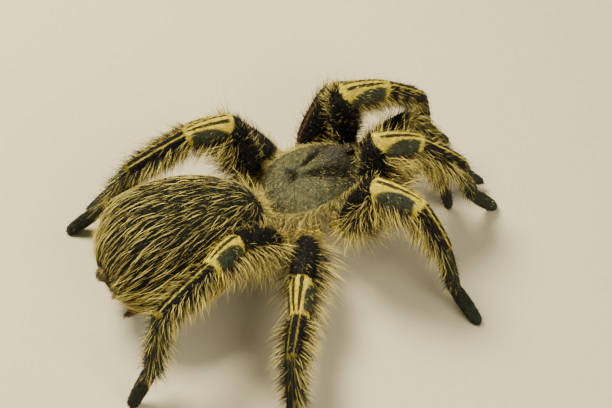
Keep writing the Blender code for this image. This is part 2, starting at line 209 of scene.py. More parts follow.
def heading(side, azimuth, elevation):
    turn = math.radians(azimuth)
    lift = math.radians(elevation)
    out = math.cos(turn) * math.cos(lift)
    return Vector((out if side == "left" else -out, -math.sin(turn) * math.cos(lift), math.sin(lift)))


class Bone:
    """One straight stretch of a limb from joint to joint, with the way that its back faces."""

    def __init__(self, limb, kind, start, end, back, slimness):
        self.limb = limb
        self.kind = kind
        self.start = start
        self.end = end
        self.along = (end - start).normalized()
        self.side = back.cross(self.along).normalized()
        self.back = self.along.cross(self.side)
        self.length = (end - start).length
        self.radii = tuple(slimness * radius for radius in FLESH_RADII[kind])

    def matrix(self):
        turned = Matrix((self.side, self.back, self.along)).transposed().to_4x4()
        return Matrix.Translation(self.start) @ turned


def limb_bones(limb, parts, root, side, lengths, poses, slimness, roll=0.0):
    """The bones of one limb with its coxa first."""
    inner = mirrored(Vector((root.x * COXA_INSET, root.y * COXA_SPREAD, root.z - COXA_DROP)), side)
    outer = mirrored(root, side)
    along = (outer - inner).normalized()
    point = BODY @ outer
    bones = [Bone(limb, "coxa", BODY @ (outer - along * COXA_LENGTH * 0.8), point, BODY_UP, slimness)]
    for part, length, (azimuth, elevation) in zip(parts, lengths, poses):
        way = heading(side, azimuth, elevation)
        far = point + length * way
        back = Matrix.Rotation(math.radians(roll), 3, way) @ heading(side, azimuth, elevation + 90.0)
        bones.append(Bone(limb, part, point, far, back, slimness))
        point = far
    return bones


def all_bones():
    bones = []
    for (side, number), poses in LEG_POSES.items():
        root = LEG_ROOTS[number] + Vector((0.0, COXA_SWINGS.get((side, number), 0.0), 0.0))
        limb = f"leg_{side}_{number}"
        roll = ROLLS.get((side, number), 0.0)
        bones += limb_bones(limb, LEG_PARTS, root, side, LEG_LENGTHS[number], poses, 1.0, roll)
    for side, poses in PALP_POSES.items():
        limb = f"palp_{side}"
        bones += limb_bones(limb, PALP_PARTS, PALP_ROOT, side, PALP_LENGTHS, poses, PALP_SLIMNESS)
    return bones


BONES = all_bones()


# ---------------------------------------------------------------- modelling by hand


def deselect():
    if bpy.context.object and bpy.context.object.mode != "OBJECT":
        bpy.ops.object.mode_set(mode="OBJECT")
    bpy.ops.object.select_all(action="DESELECT")


def edited_whole():
    bpy.ops.object.mode_set(mode="EDIT")
    bpy.ops.mesh.select_all(action="SELECT")


def closed_up():
    """Turns all faces of the edited form outwards and leaves edit mode."""
    bpy.ops.mesh.select_all(action="SELECT")
    bpy.ops.mesh.normals_make_consistent(inside=False)
    bpy.ops.object.mode_set(mode="OBJECT")


def smoothed(form):
    for polygon in form.data.polygons:
        polygon.use_smooth = True


def drawn_up(name, stations, sides):
    """A closed round form pulled up from a disc, ring by ring: stations are (height, radius)."""
    deselect()
    height, radius = stations[0]
    bpy.ops.mesh.primitive_circle_add(
        vertices=sides, radius=radius, fill_type="NGON", location=(0.0, 0.0, height)
    )
    form = bpy.context.object
    form.name = name
    edited_whole()
    for next_height, next_radius in stations[1:]:
        bpy.ops.mesh.extrude_region_move(TRANSFORM_OT_translate={"value": (0.0, 0.0, next_height - height)})
        grow = next_radius / radius
        bpy.ops.transform.resize(value=(grow, grow, 1.0), center_override=(0.0, 0.0, next_height))
        height, radius = next_height, next_radius
    closed_up()
    form.data.transform(form.matrix_world)
    form.matrix_world = Matrix.Identity(4)
    return form


def placed_copy(master, matrix, name):
    """A copy of a finished form with its own mesh, set in place in its mesh."""
    copy = bpy.data.objects.new(name, master.data.copy())
    bpy.context.scene.collection.objects.link(copy)
    copy.data.transform(matrix)
    return copy


def joined(forms, name):
    deselect()
    for form in forms:
        form.select_set(True)
    bpy.context.view_layer.objects.active = forms[0]
    bpy.ops.object.join()
    whole = bpy.context.object
    whole.name = name
    whole.data.name = name
    return whole


def applied(item, kind, **settings):
    """Adds a modifier with these settings and applies it."""
    deselect()
    item.select_set(True)
    bpy.context.view_layer.objects.active = item
    modifier = item.modifiers.new(kind.lower(), kind)
    for key, value in settings.items():
        setattr(modifier, key, value)
    bpy.ops.object.modifier_apply(modifier=modifier.name)


def removed(*items):
    for item in items:
        bpy.data.objects.remove(item, do_unlink=True)


def part_stations(kind):
    """Outline of a limb part of unit length: domed ends past each joint and a fuller middle."""
    near, middle, far = FLESH_RADII[kind]
    reach = FLESH_ENDS[kind]
    stations = [(-reach, 0.3 * near), (-0.8 * reach, 0.68 * near), (-0.4 * reach, 0.92 * near), (0.02, near)]
    for share in (0.1, 0.25, 0.4, 0.55, 0.7, 0.85, 0.94):
        swell = math.sin(math.pi * share) ** 0.8
        straight = near + (far - near) * share
        stations.append((share, straight + (middle - (near + far) / 2) * swell))
    for past, narrower in ((0.0, 1.0), (0.5, 0.86), (0.85, 0.6), (1.0, 0.3)):
        stations.append((1.0 + past * reach, narrower * far))
    return stations


def make_limbs():
    masters = {kind: drawn_up(f"master_{kind}", part_stations(kind), 18) for kind in FLESH_RADII}
    for kind, master in masters.items():
        for vert in master.data.vertices:
            if vert.co.y < 0.0:
                vert.co.y *= FLESH_BELLY[kind]
    made = []
    for bone in BONES:
        slim = bone.radii[0] / FLESH_RADII[bone.kind][0]
        fit = Matrix.Diagonal((slim, FLESH_DEPTH * slim, bone.length, 1.0))
        made.append(placed_copy(masters[bone.kind], bone.matrix() @ fit, f"{bone.limb}_{bone.kind}"))
    removed(*masters.values())
    return made


def ball(name, size, at, matrix, segments=48, rings=24):
    deselect()
    bpy.ops.mesh.primitive_uv_sphere_add(segments=segments, ring_count=rings, radius=0.5)
    form = bpy.context.object
    form.name = name
    form.data.transform(matrix @ Matrix.Translation(at) @ Matrix.Diagonal((*size, 1.0)))
    return form


def egg_scale(share):
    """How much fuller the abdomen is at a place along it, -0.5 at the front to 0.5 at the rear."""
    return 1.0 + ABDOMEN_EGG * math.sin(math.pi * share)


def make_abdomen():
    form = ball("abdomen_flesh", (1.0, 1.0, 1.0), Vector(), Matrix.Rotation(math.pi / 2, 4, "X"), 96, 64)
    size = [length - 2.0 * ABDOMEN_COAT for length in ABDOMEN_SIZE]
    for vert in form.data.vertices:
        across, share, height = vert.co
        fuller = egg_scale(share)
        top = 1.0 - 0.05 * max(0.0, height) * math.cos(4.0 * math.pi * share)
        vert.co = (across * size[0] * fuller, share * size[1], height * size[2] * fuller * top)
    form.data.transform(ABDOMEN)
    return form


def way_matrix(start, end, back):
    along = (end - start).normalized()
    side = back.cross(along).normalized()
    turned = Matrix((side, along.cross(side), along)).transposed().to_4x4()
    return Matrix.Translation(start) @ turned


def make_jaws():
    """The two stout basal joints of the chelicerae."""
    near = [(-0.5, 1.4), (0.3, 1.7), (1.6, 1.95), (3.2, 2.0)]
    far = [(4.8, 1.9), (6.2, 1.6), (7.2, 1.2), (JAW_LENGTH, 0.6)]
    master = drawn_up("master_jaw", near + far, 24)
    made = []
    for side in SIDES:
        start = BODY @ mirrored(CHELICERA_ROOT, side)
        end = BODY @ mirrored(CHELICERA_TIP, side)
        fit = Matrix.Diagonal((1.0, CHELICERA_HEIGHT, 1.0, 1.0))
        made.append(placed_copy(master, way_matrix(start, end, BODY_UP) @ fit, f"jaw_{side}"))
    removed(master)
    return made


def make_spinnerets():
    """The long jointed rear pair and the short middle pair, all under the rear of the abdomen."""
    first_joint = [(-0.6, 0.9), (0.6, 1.15), (1.7, 1.1)]
    far_joints = [(1.9, 0.9), (3.3, 0.85), (3.5, 0.65), (4.7, 0.55), (5.1, 0.3)]
    long_master = drawn_up("master_spinneret", first_joint + far_joints, 14)
    short_master = drawn_up("master_spigot", [(-0.6, 0.4), (0.6, 0.5), (1.5, 0.45), (1.9, 0.2)], 12)
    made = []
    up = Vector((0.0, 0.0, 1.0))
    for side, sign in (("left", 1.0), ("right", -1.0)):
        start = mirrored(SPINNERET_ROOT, side)
        way = Vector((sign * math.sin(SPINNERET_SPREAD), math.cos(SPINNERET_SPREAD), 0.1)).normalized()
        matrix = ABDOMEN @ way_matrix(start, start + way * SPINNERET_LENGTH, up)
        made.append(placed_copy(long_master, matrix, f"spinneret_{side}"))
        inner = Vector((sign * 0.8, start.y, start.z))
        matrix = ABDOMEN @ way_matrix(inner, inner + Vector((0.0, 1.0, 0.05)), up)
        made.append(placed_copy(short_master, matrix, f"spigot_{side}"))
    removed(long_master, short_master)
    return made


def make_waist():
    """The short stalk between the two halves of the body."""
    master = drawn_up("master_waist", [(-1.0, 0.9), (0.0, 1.3), (3.0, 1.3), (7.0, 1.4), (9.0, 1.0)], 18)
    middle = BODY @ PEDICEL_AT
    start = middle - Vector((0.0, 2.0, 0.0))
    end = middle + Vector((-2.0, 6.0, 1.4))
    waist = placed_copy(master, way_matrix(start, end, Vector((0.0, 0.0, 1.0))), "waist")
    removed(master)
    return waist


def make_skin():
    """One closed skin over the abdomen, the waist, the underside, the jaws and every limb."""
    forms = make_limbs()
    forms.append(make_abdomen())
    forms.append(ball("tubercle", TUBERCLE_SIZE, TUBERCLE_AT, ABDOMEN))
    forms.append(ball("spinning_field", SPINNING_FIELD_SIZE, SPINNING_FIELD_AT, ABDOMEN))
    forms.append(ball("breast", [length - STERNUM_INSET for length in STERNUM_SIZE], STERNUM_AT, BODY))
    forms.append(ball("lip", LIP_SIZE, LIP_AT, BODY))
    forms.append(make_waist())
    forms += make_jaws()
    forms += make_spinnerets()
    for form in forms:
        form.data.transform(Matrix.Scale(MM, 4))
    skin = joined(forms, "skin")
    applied(skin, "REMESH", mode="VOXEL", voxel_size=SKIN_VOXEL * MM, use_smooth_shade=True)
    applied(skin, "SMOOTH", factor=0.5, iterations=4)
    keep_above(skin, SOLE_HEIGHT)
    return skin


def keep_above(form, height):
    """Flattens what reaches lower than this height over the floor."""
    for vert in form.data.vertices:
        vert.co.z = max(vert.co.z, height * MM)


# ---------------------------------------------------------------- carapace, eyes, fangs, claws


def half_width(along):
    rear = (1.0 - abs(along) ** 2.6) ** 0.5
    taper = 1.0 - 0.17 * max(0.0, -along) ** 0.8
    front = 0.55 * max(0.0, -along) ** 6
    return (CARAPACE_WIDTH - 0.6) / 2 * max(rear * taper, front)


FOVEA = 4.05  # how far behind the middle of the plate its pit lies
RAYS = (20.0, 55.0, 92.0, 126.0)  # directions of the grooves from the pit, in degrees from straight back
NECK_RAY = 152.0  # the deep groove that parts the head from the thorax


def ridge(distance, width):
    return np.exp(-((distance / width) ** 2))


def relief(x, y):
    """Depth of the grooves and the pit at places on the plate, from its middle line and its middle."""
    back = y - FOVEA
    reach = np.hypot(x, back)
    turn = np.degrees(np.arctan2(np.abs(x), back))
    near = np.clip(reach / 1.5, 0.0, 1.0)
    depth = 0.0
    fading = near * np.clip(1.0 - reach / 11.0, 0.0, 1.0)
    for ray in RAYS:
        depth = depth + 0.5 * ridge(reach * np.radians(turn - ray), 0.75) * fading
    neck = ridge(reach * np.radians(turn - NECK_RAY), 0.6 + 0.09 * reach)
    neck = neck * np.clip((reach - 2.0) / 3.0, 0.0, 1.0) * np.clip(1.5 - reach / 15.0, 0.0, 1.0)
    pit = np.exp(-((x / 1.7) ** 2) - ((back - 0.5 * np.abs(x)) / 0.7) ** 2)
    return depth + 2.1 * neck + 2.2 * pit


def plate_height(across, along):
    """Height of the plate above its rim; across and along run from -1 to 1."""
    dome = CARAPACE_HEIGHT * max(0.0, 1.0 - across**2) ** 0.62
    ends = max(0.0, 1.0 - abs(along) ** 5) ** 0.5
    caput = CAPUT_HEIGHT * math.exp(-(((along + 0.62) / 0.42) ** 2) - (across / 0.5) ** 2)
    carved = relief(across * half_width(along), along * CARAPACE_LENGTH / 2)
    return max(0.0, (dome + caput) * ends) - float(carved) * min(1.0, 3.0 * (1.0 - abs(across)))


def make_carapace():
    deselect()
    bpy.ops.mesh.primitive_grid_add(x_subdivisions=PLATE_ACROSS, y_subdivisions=PLATE_ALONG, size=2.0)
    plate = bpy.context.object
    plate.name = "carapace_plate"
    for vert in plate.data.vertices:
        across = math.sin(vert.co.x * math.pi / 2)
        along = math.sin(vert.co.y * math.pi / 2 * 0.985)
        lift = plate_height(across, along)
        length = along * (CARAPACE_LENGTH - 0.5) / 2
        vert.co = (across * half_width(along), length, CARAPACE_RIM + 0.75 + lift)
    bpy.ops.object.mode_set(mode="EDIT")
    bpy.ops.mesh.select_all(action="DESELECT")
    bpy.ops.mesh.select_non_manifold()
    bpy.ops.mesh.extrude_edges_move(TRANSFORM_OT_translate={"value": (0.0, 0.0, -0.55)})
    bpy.ops.transform.resize(value=(0.985, 0.985, 1.0), center_override=(0.0, 0.0, 0.0))
    bpy.ops.mesh.edge_face_add()
    closed_up()
    applied(plate, "TRIANGULATE")
    plate.data.transform(Matrix.Scale(MM, 4) @ BODY)
    bpy.ops.object.shade_smooth_by_angle(angle=math.radians(50))
    return plate


# Each eye on one side of the mound: the way that it faces (across, along, up) and its radius.
EYES = (
    ((0.36, -0.42, 0.85), 0.42),
    ((0.85, -0.55, 0.42), 0.4),
    ((0.66, 0.28, 0.75), 0.27),
    ((0.95, 0.22, 0.42), 0.34),
)


def make_eyes():
    """The low mound, and the eight eyes let into it."""
    middle = EYE_MOUND_AT - Vector((0.0, 0.0, 0.55))
    mound = ball("eye_mound", EYE_MOUND_SIZE, middle, Matrix.Identity(4), 40, 24)
    for vert in mound.data.vertices:
        vert.co.z = max(vert.co.z, middle.z - 0.8)
    mound.data.transform(Matrix.Scale(MM, 4) @ BODY)
    smoothed(mound)
    eyes = []
    half = Vector(EYE_MOUND_SIZE) / 2
    for side in SIDES:
        for facing, radius in EYES:
            way = mirrored(Vector(facing), side).normalized()
            reach = 1.0 / math.sqrt(sum((part / size) ** 2 for part, size in zip(way, half)))
            at = middle + way * (reach - 0.35 * radius)
            eyes.append(ball("eye", (2 * radius,) * 3, at, BODY, 16, 10))
    for eye in eyes:
        eye.data.transform(Matrix.Scale(MM, 4))
    eyes = joined(eyes, "eight_eyes")
    smoothed(eyes)
    return mound, eyes


def hooked(name, radius, arc, turn, steps, sides, tip_share):
    """A curved cone pulled round part of a circle; it starts at the origin pointing down and bends back."""
    deselect()
    bpy.ops.mesh.primitive_circle_add(vertices=sides, radius=radius, fill_type="NGON")
    form = bpy.context.object
    form.name = name
    edited_whole()
    shrink = tip_share ** (1.0 / steps)
    for step in range(steps):
        before = math.radians(turn * step / steps)
        after = math.radians(turn * (step + 1) / steps)
        shift = (0.0, arc * (math.cos(before) - math.cos(after)), -arc * (math.sin(after) - math.sin(before)))
        bpy.ops.mesh.extrude_region_move(TRANSFORM_OT_translate={"value": shift})
        at = (0.0, arc * (1.0 - math.cos(after)), -arc * math.sin(after))
        bpy.ops.transform.resize(value=(shrink,) * 3, center_override=at)
        bpy.ops.transform.rotate(value=-(after - before), orient_axis="X", center_override=at)
    closed_up()
    smoothed(form)
    return form


def make_fangs():
    master = hooked("master_fang", FANG_RADIUS, FANG_ARC, FANG_TURN, 14, 16, 0.14)
    made = []
    for side in SIDES:
        matrix = Matrix.Scale(MM, 4) @ BODY @ Matrix.Translation(mirrored(FANG_ROOT, side))
        made.append(placed_copy(master, matrix, f"fang_{side}_polished"))
    removed(master)
    return made


def make_claws():
    """A pair of small hooked claws at the end of each foot."""
    master = hooked("master_claw", CLAW_RADIUS, CLAW_ARC, CLAW_TURN, 8, 10, 0.15)
    made = []
    for bone in BONES:
        if bone.kind != "tarsus":
            continue
        for sign in (-1.0, 1.0):
            at = bone.end + bone.along * 0.7 + bone.side * sign * 0.35 + bone.back * 0.2
            turned = Matrix((bone.side, -bone.back, -bone.along)).transposed().to_4x4()
            made.append(placed_copy(master, Matrix.Scale(MM, 4) @ Matrix.Translation(at) @ turned, "claw"))
    removed(master)
    claws = joined(made, "foot_claws")
    keep_above(claws, FLOOR_CLEARANCE)
    return claws


# ---------------------------------------------------------------- where a point lies on the animal


def unit(vectors):
    return vectors / np.maximum(np.linalg.norm(vectors, axis=-1, keepdims=True), 1e-9)


def local(points, matrix):
    inverse = rows_of(matrix.inverted())
    return points @ inverse[:3, :3].T + inverse[:3, 3]


KINDS = ("coxa", "femur", "patella", "tibia", "metatarsus", "tarsus", "abdomen", "breast", "jaw", "tail")
LIMBS = sorted({bone.limb for bone in BONES})


def neighbour(index, step):
    """The bone before or after this one on its limb, or the bone itself at an end."""
    other = index + step
    if 0 <= other < len(BONES) and BONES[other].limb == BONES[index].limb:
        return BONES[other]
    return BONES[index]


class Survey:
    """Where points lie on the animal: each belongs to the part whose surface is nearest."""

    def __init__(self, points):
        count = len(points)
        self.points = points
        self.nearest = np.full(count, 1e9)
        self.found = {
            "kind": np.zeros(count, int),
            "limb": np.full(count, -1),
            "share": np.zeros(count),
            "turn": np.zeros(count),
            "lie": np.zeros((count, 3)),
        }

    def claim(self, kind, distance, share, turn, lie, limb=-1):
        """Gives a part the points that are nearer to it than to the parts before."""
        nearer = distance < self.nearest
        self.nearest[nearer] = distance[nearer]
        self.found["kind"][nearer] = KINDS.index(kind)
        self.found["limb"][nearer] = limb
        self.found["share"][nearer] = share[nearer]
        self.found["turn"][nearer] = turn[nearer]
        self.found["lie"][nearer] = lie

    def limbs(self):
        """The bones of the limbs, parted at each joint by the plane between its two bones."""
        for index, bone in enumerate(BONES):
            before = neighbour(index, -1)
            after = neighbour(index, 1)
            way = np.array(bone.along)
            offset = self.points - np.array(bone.start)
            along = offset @ way
            clipped = np.clip(along / bone.length, 0.0, 1.0)
            near, middle, far = bone.radii
            radius = near + (far - near) * clipped + (middle - (near + far) / 2) * np.sin(np.pi * clipped)
            miss = offset - np.outer(clipped * bone.length, way)
            distance = np.linalg.norm(miss, axis=1) - radius
            if bone.kind != "coxa":
                plane = np.array((before.along + bone.along).normalized())
                distance += JOINT_STEP * np.maximum(0.0, -offset @ plane)
            if after is not bone:
                plane = np.array((bone.along + after.along).normalized())
                distance += JOINT_STEP * np.maximum(0.0, (self.points - np.array(bone.end)) @ plane)
            share = np.clip(along / bone.length, -0.25, 1.25)
            turn = np.arctan2(offset @ np.array(bone.side), offset @ np.array(bone.back))
            self.claim(bone.kind, distance, share, turn, way, LIMBS.index(bone.limb))

    def abdomen(self):
        inside = local(self.points, ABDOMEN)
        size = np.array(ABDOMEN_SIZE) - 2.0 * ABDOMEN_COAT
        fuller = 1.0 + ABDOMEN_EGG * np.sin(np.pi * np.clip(inside[:, 1] / size[1], -0.5, 0.5))
        scaled = inside / (size * np.stack([fuller, np.ones(len(inside)), fuller], 1))
        distance = (np.linalg.norm(scaled, axis=1) - 0.5) * ABDOMEN_WIDTH_MEAN
        share = np.arccos(np.clip(-2.0 * scaled[:, 1], -1.0, 1.0)) / np.pi
        self.claim("abdomen", distance, share, np.arctan2(scaled[:, 0], scaled[:, 2]), ABDOMEN_AXES[:, 1])

    def breast(self):
        inside = local(self.points, BODY)
        offset = inside - np.array(STERNUM_AT)
        scaled = offset / (np.array(STERNUM_SIZE) - STERNUM_INSET)
        distance = (np.linalg.norm(scaled, axis=1) - 0.5) * STERNUM_WIDTH_MEAN
        share = np.clip(0.4 + inside[:, 1] / 40.0, 0.0, 0.8)
        self.claim("breast", distance, share, np.arctan2(inside[:, 0], offset[:, 2]), BODY_AXES[:, 1])

    def jaws(self):
        inside = local(self.points, BODY)
        for side in SIDES:
            start = np.array(mirrored(CHELICERA_ROOT, side))
            way = unit(np.array(mirrored(CHELICERA_TIP, side)) - start)
            offset = inside - start
            along = np.clip(offset @ way, -0.5, JAW_LENGTH)
            miss = offset - np.outer(along, way)
            miss[:, 2] /= CHELICERA_HEIGHT
            distance = np.linalg.norm(miss, axis=1) - JAW_RADIUS
            share = np.clip(along / JAW_LENGTH, 0.0, 1.0)
            self.claim("jaw", distance, share, np.arctan2(miss[:, 0], miss[:, 2]), BODY_AXES @ way)

    def tail(self):
        """The spinnerets with the field that they stand on, and the knob."""
        inside = local(self.points, ABDOMEN)
        below = (inside[:, 1] > SPINNERET_ROOT.y - 3.5) & (inside[:, 2] < -11.5)
        bare = below & (self.found["kind"] == KINDS.index("abdomen")) & (self.nearest > 0.6)
        bare |= np.linalg.norm(inside - np.array(TUBERCLE_AT), axis=1) < TUBERCLE_REACH
        self.found["kind"][bare] = KINDS.index("tail")
        self.found["share"][bare] = 0.5


def survey(points):
    """For each point in millimetres: its kind of part, limb, share along, angle from the back and lie."""
    place = Survey(points)
    place.limbs()
    place.abdomen()
    place.breast()
    place.jaws()
    place.tail()
    return place.found


def by_part(found, values, rest=0.0):
    """A value for each point by its part of a limb, from femur to tarsus, and the rest elsewhere."""
    table = np.full(len(KINDS), rest)
    table[1:6] = values
    return table[found["kind"]]


def by_limb(found, values, rest):
    """A value for each point by its pair of legs or its palp, and the rest elsewhere."""
    pairs = ["palp" if name.startswith("palp") else name[-1] for name in LIMBS]
    table = np.array([values.get(pair, rest) for pair in pairs] + [rest])
    return table[found["limb"]]


def marks_of(found):
    """Three vectors for the materials: the place on the part, and two sets of weights."""

    def weight(*names):
        return np.isin(found["kind"], [KINDS.index(name) for name in names]).astype(float)

    place = np.stack([np.sin(found["turn"]), np.cos(found["turn"]), found["share"]], 1)
    femur = weight("femur") * by_limb(found, FEMUR_LINE, 0.5)
    patella = weight("patella") * by_limb(found, PATELLA_GOLD, 1.0)
    tibia = weight("tibia") * by_limb(found, TIBIA_LINES, 1.0)
    foot = weight("metatarsus") + 2.0 * weight("tarsus")
    brown = weight("coxa", "breast") + 0.55 * weight("tail")
    limbs = np.stack([femur, patella, tibia], 1)
    others = np.stack([foot, brown, weight("abdomen")], 1)
    return {"place": place, "limbs": limbs, "others": others}


def store(mesh, name, values):
    attribute = mesh.attributes.new(name, "FLOAT_VECTOR", "POINT")
    attribute.data.foreach_set("vector", np.ascontiguousarray(values, np.float32).ravel())


def store_marks(mesh, marks):
    for key, values in marks.items():
        store(mesh, key, values)


def points_of(mesh):
    flat = np.empty(len(mesh.vertices) * 3, np.float32)
    mesh.vertices.foreach_get("co", flat)
    return flat.reshape(-1, 3).astype(float) / MM


def triangles_of(mesh):
    mesh.calc_loop_triangles()
    flat = np.empty(len(mesh.loop_triangles) * 3, np.int32)
    mesh.loop_triangles.foreach_get("vertices", flat)
    return flat.reshape(-1, 3)


# ---------------------------------------------------------------- materials


class Value:
    """A socket of a material's node, so that shader maths reads as plain Python."""

    def __init__(self, paint, socket):
        self.paint = paint
        self.socket = socket

    def _math(self, operation, *others):
        return self.paint.add("ShaderNodeMath", {"operation": operation}, self, *others)

    def __add__(self, other):
        return self._math("ADD", other)

    __radd__ = __add__

    def __mul__(self, other):
        return self._math("MULTIPLY", other)

    __rmul__ = __mul__

    def __sub__(self, other):
        return self._math("SUBTRACT", other)

    def __rsub__(self, other):
        return self.paint.add("ShaderNodeMath", {"operation": "SUBTRACT"}, other, self)

    def __truediv__(self, other):
        return self._math("DIVIDE", other)

    def __pow__(self, other):
        return self._math("POWER", other)

    def __abs__(self):
        return self._math("ABSOLUTE")

    def least(self, other):
        return self._math("MINIMUM", other)

    def most(self, other):
        return self._math("MAXIMUM", other)

    def above(self, low, high):
        """0 up to low, 1 from high, and a soft step between."""
        ends = {"From Min": low, "From Max": high}
        return self.paint.add("ShaderNodeMapRange", {"interpolation_type": "SMOOTHSTEP"}, Value=self, **ends)

    def below(self, low, high):
        return 1.0 - self.above(low, high)


class Paint:
    """One material under construction."""

    def __init__(self, name, roughness, **constants):
        self.material = bpy.data.materials.new(name)
        self.material.use_nodes = True
        self.tree = self.material.node_tree
        self.shader = self.tree.nodes["Principled BSDF"]
        self.shader.inputs["Roughness"].default_value = roughness
        for key, value in constants.items():
            self.shader.inputs[key.replace("_", " ")].default_value = value

    def add(self, kind, settings, *inputs, output=0, **named):
        """Adds a node: its settings first, then the values or links of its sockets."""
        node = self.tree.nodes.new(kind)
        for key, value in settings.items():
            setattr(node, key, value)
        for socket, value in zip(node.inputs, inputs):
            self.link(value, socket)
        for key, value in named.items():
            self.link(value, node.inputs[key])
        return Value(self, node.outputs[output])

    def link(self, value, socket):
        if isinstance(value, Value):
            self.tree.links.new(value.socket, socket)
        else:
            socket.default_value = value

    def mark(self, name):
        """The three parts of one of the mesh's vectors."""
        vector = self.add("ShaderNodeAttribute", {"attribute_name": name}, output="Vector")
        split = self.tree.nodes.new("ShaderNodeSeparateXYZ")
        self.tree.links.new(vector.socket, split.inputs[0])
        return [Value(self, socket) for socket in split.outputs]

    def spots(self, scale, detail=2.0, stretch=(1.0, 1.0, 1.0)):
        """Smooth noise from 0 to 1 in the object's own space; scale counts per millimetre."""
        place = self.add("ShaderNodeTexCoord", {}, output="Object")
        placed = self.add("ShaderNodeMapping", {}, Vector=place, Scale=stretch)
        return self.add("ShaderNodeTexNoise", {}, Vector=placed, Scale=scale / MM, Detail=detail)

    def mix(self, share, first, second):
        """One colour over another by a share from 0 to 1."""
        node = self.tree.nodes.new("ShaderNodeMix")
        node.data_type = "RGBA"
        node.clamp_factor = True
        for socket, value in ((node.inputs[0], share), (node.inputs[6], first), (node.inputs[7], second)):
            value = (*value, 1.0) if isinstance(value, tuple) else value
            self.link(value, socket)
        return Value(self, node.outputs[2])

    def shade(self, colour, factor):
        """A colour made darker or lighter by a number."""
        node = self.tree.nodes.new("ShaderNodeVectorMath")
        node.operation = "SCALE"
        self.link(colour, node.inputs[0])
        self.link(factor, node.inputs["Scale"])
        return Value(self, node.outputs[0])

    def colour(self, value):
        self.link((*value, 1.0) if isinstance(value, tuple) else value, self.shader.inputs["Base Color"])

    def bump(self, height, strength, distance):
        node = self.tree.nodes.new("ShaderNodeBump")
        node.inputs["Strength"].default_value = strength
        node.inputs["Distance"].default_value = distance * MM
        self.link(height, node.inputs["Height"])
        self.tree.links.new(node.outputs[0], self.shader.inputs["Normal"])

    def on(self, *items):
        for item in items:
            item.data.materials.clear()
            item.data.materials.append(self.material)


VELVET = (0.009, 0.009, 0.0065)
FLANK_GREEN = (0.070, 0.078, 0.042)
FOOT_GREEN = (0.026, 0.032, 0.018)
GOLD = (0.90, 0.71, 0.045)
ORANGE = (0.34, 0.15, 0.035)
PALE_GOLD = (0.76, 0.61, 0.075)
DULL_GOLD = (0.44, 0.33, 0.10)
TAN = (0.32, 0.22, 0.09)
RUSSET = (0.085, 0.045, 0.02)
ABDOMEN_BLACK = (0.010, 0.013, 0.007)
PALE_HAIR = (0.84, 0.70, 0.15)
TAN_HAIR = (0.50, 0.39, 0.10)
RED_HAIR = (0.20, 0.10, 0.035)
OLIVE = (0.050, 0.056, 0.026)
LIGHT_OLIVE = (0.110, 0.109, 0.048)
# Painted shade: the colour that the carapace's grooves and pit are darkened towards.
GROOVE_SHADE = (0.012, 0.010, 0.008)
CAPUT_BROWN = (0.038, 0.033, 0.027)
EDGE_GOLD = (0.40, 0.33, 0.11)
PLATE_HAIR_DULL = (0.25, 0.21, 0.07)
PLATE_HAIR_PALE = (0.74, 0.62, 0.18)
MOUND_DARK = (0.018, 0.014, 0.011)
MOUND_BROWN = (0.055, 0.042, 0.028)
EYE_BLACK = (0.003, 0.003, 0.004)
EYE_BROWN = (0.02, 0.014, 0.009)
HORN_BLACK = (0.006, 0.004, 0.003)
HORN_RED = (0.06, 0.014, 0.006)
FLOOR_PALE = (0.54, 0.48, 0.31)


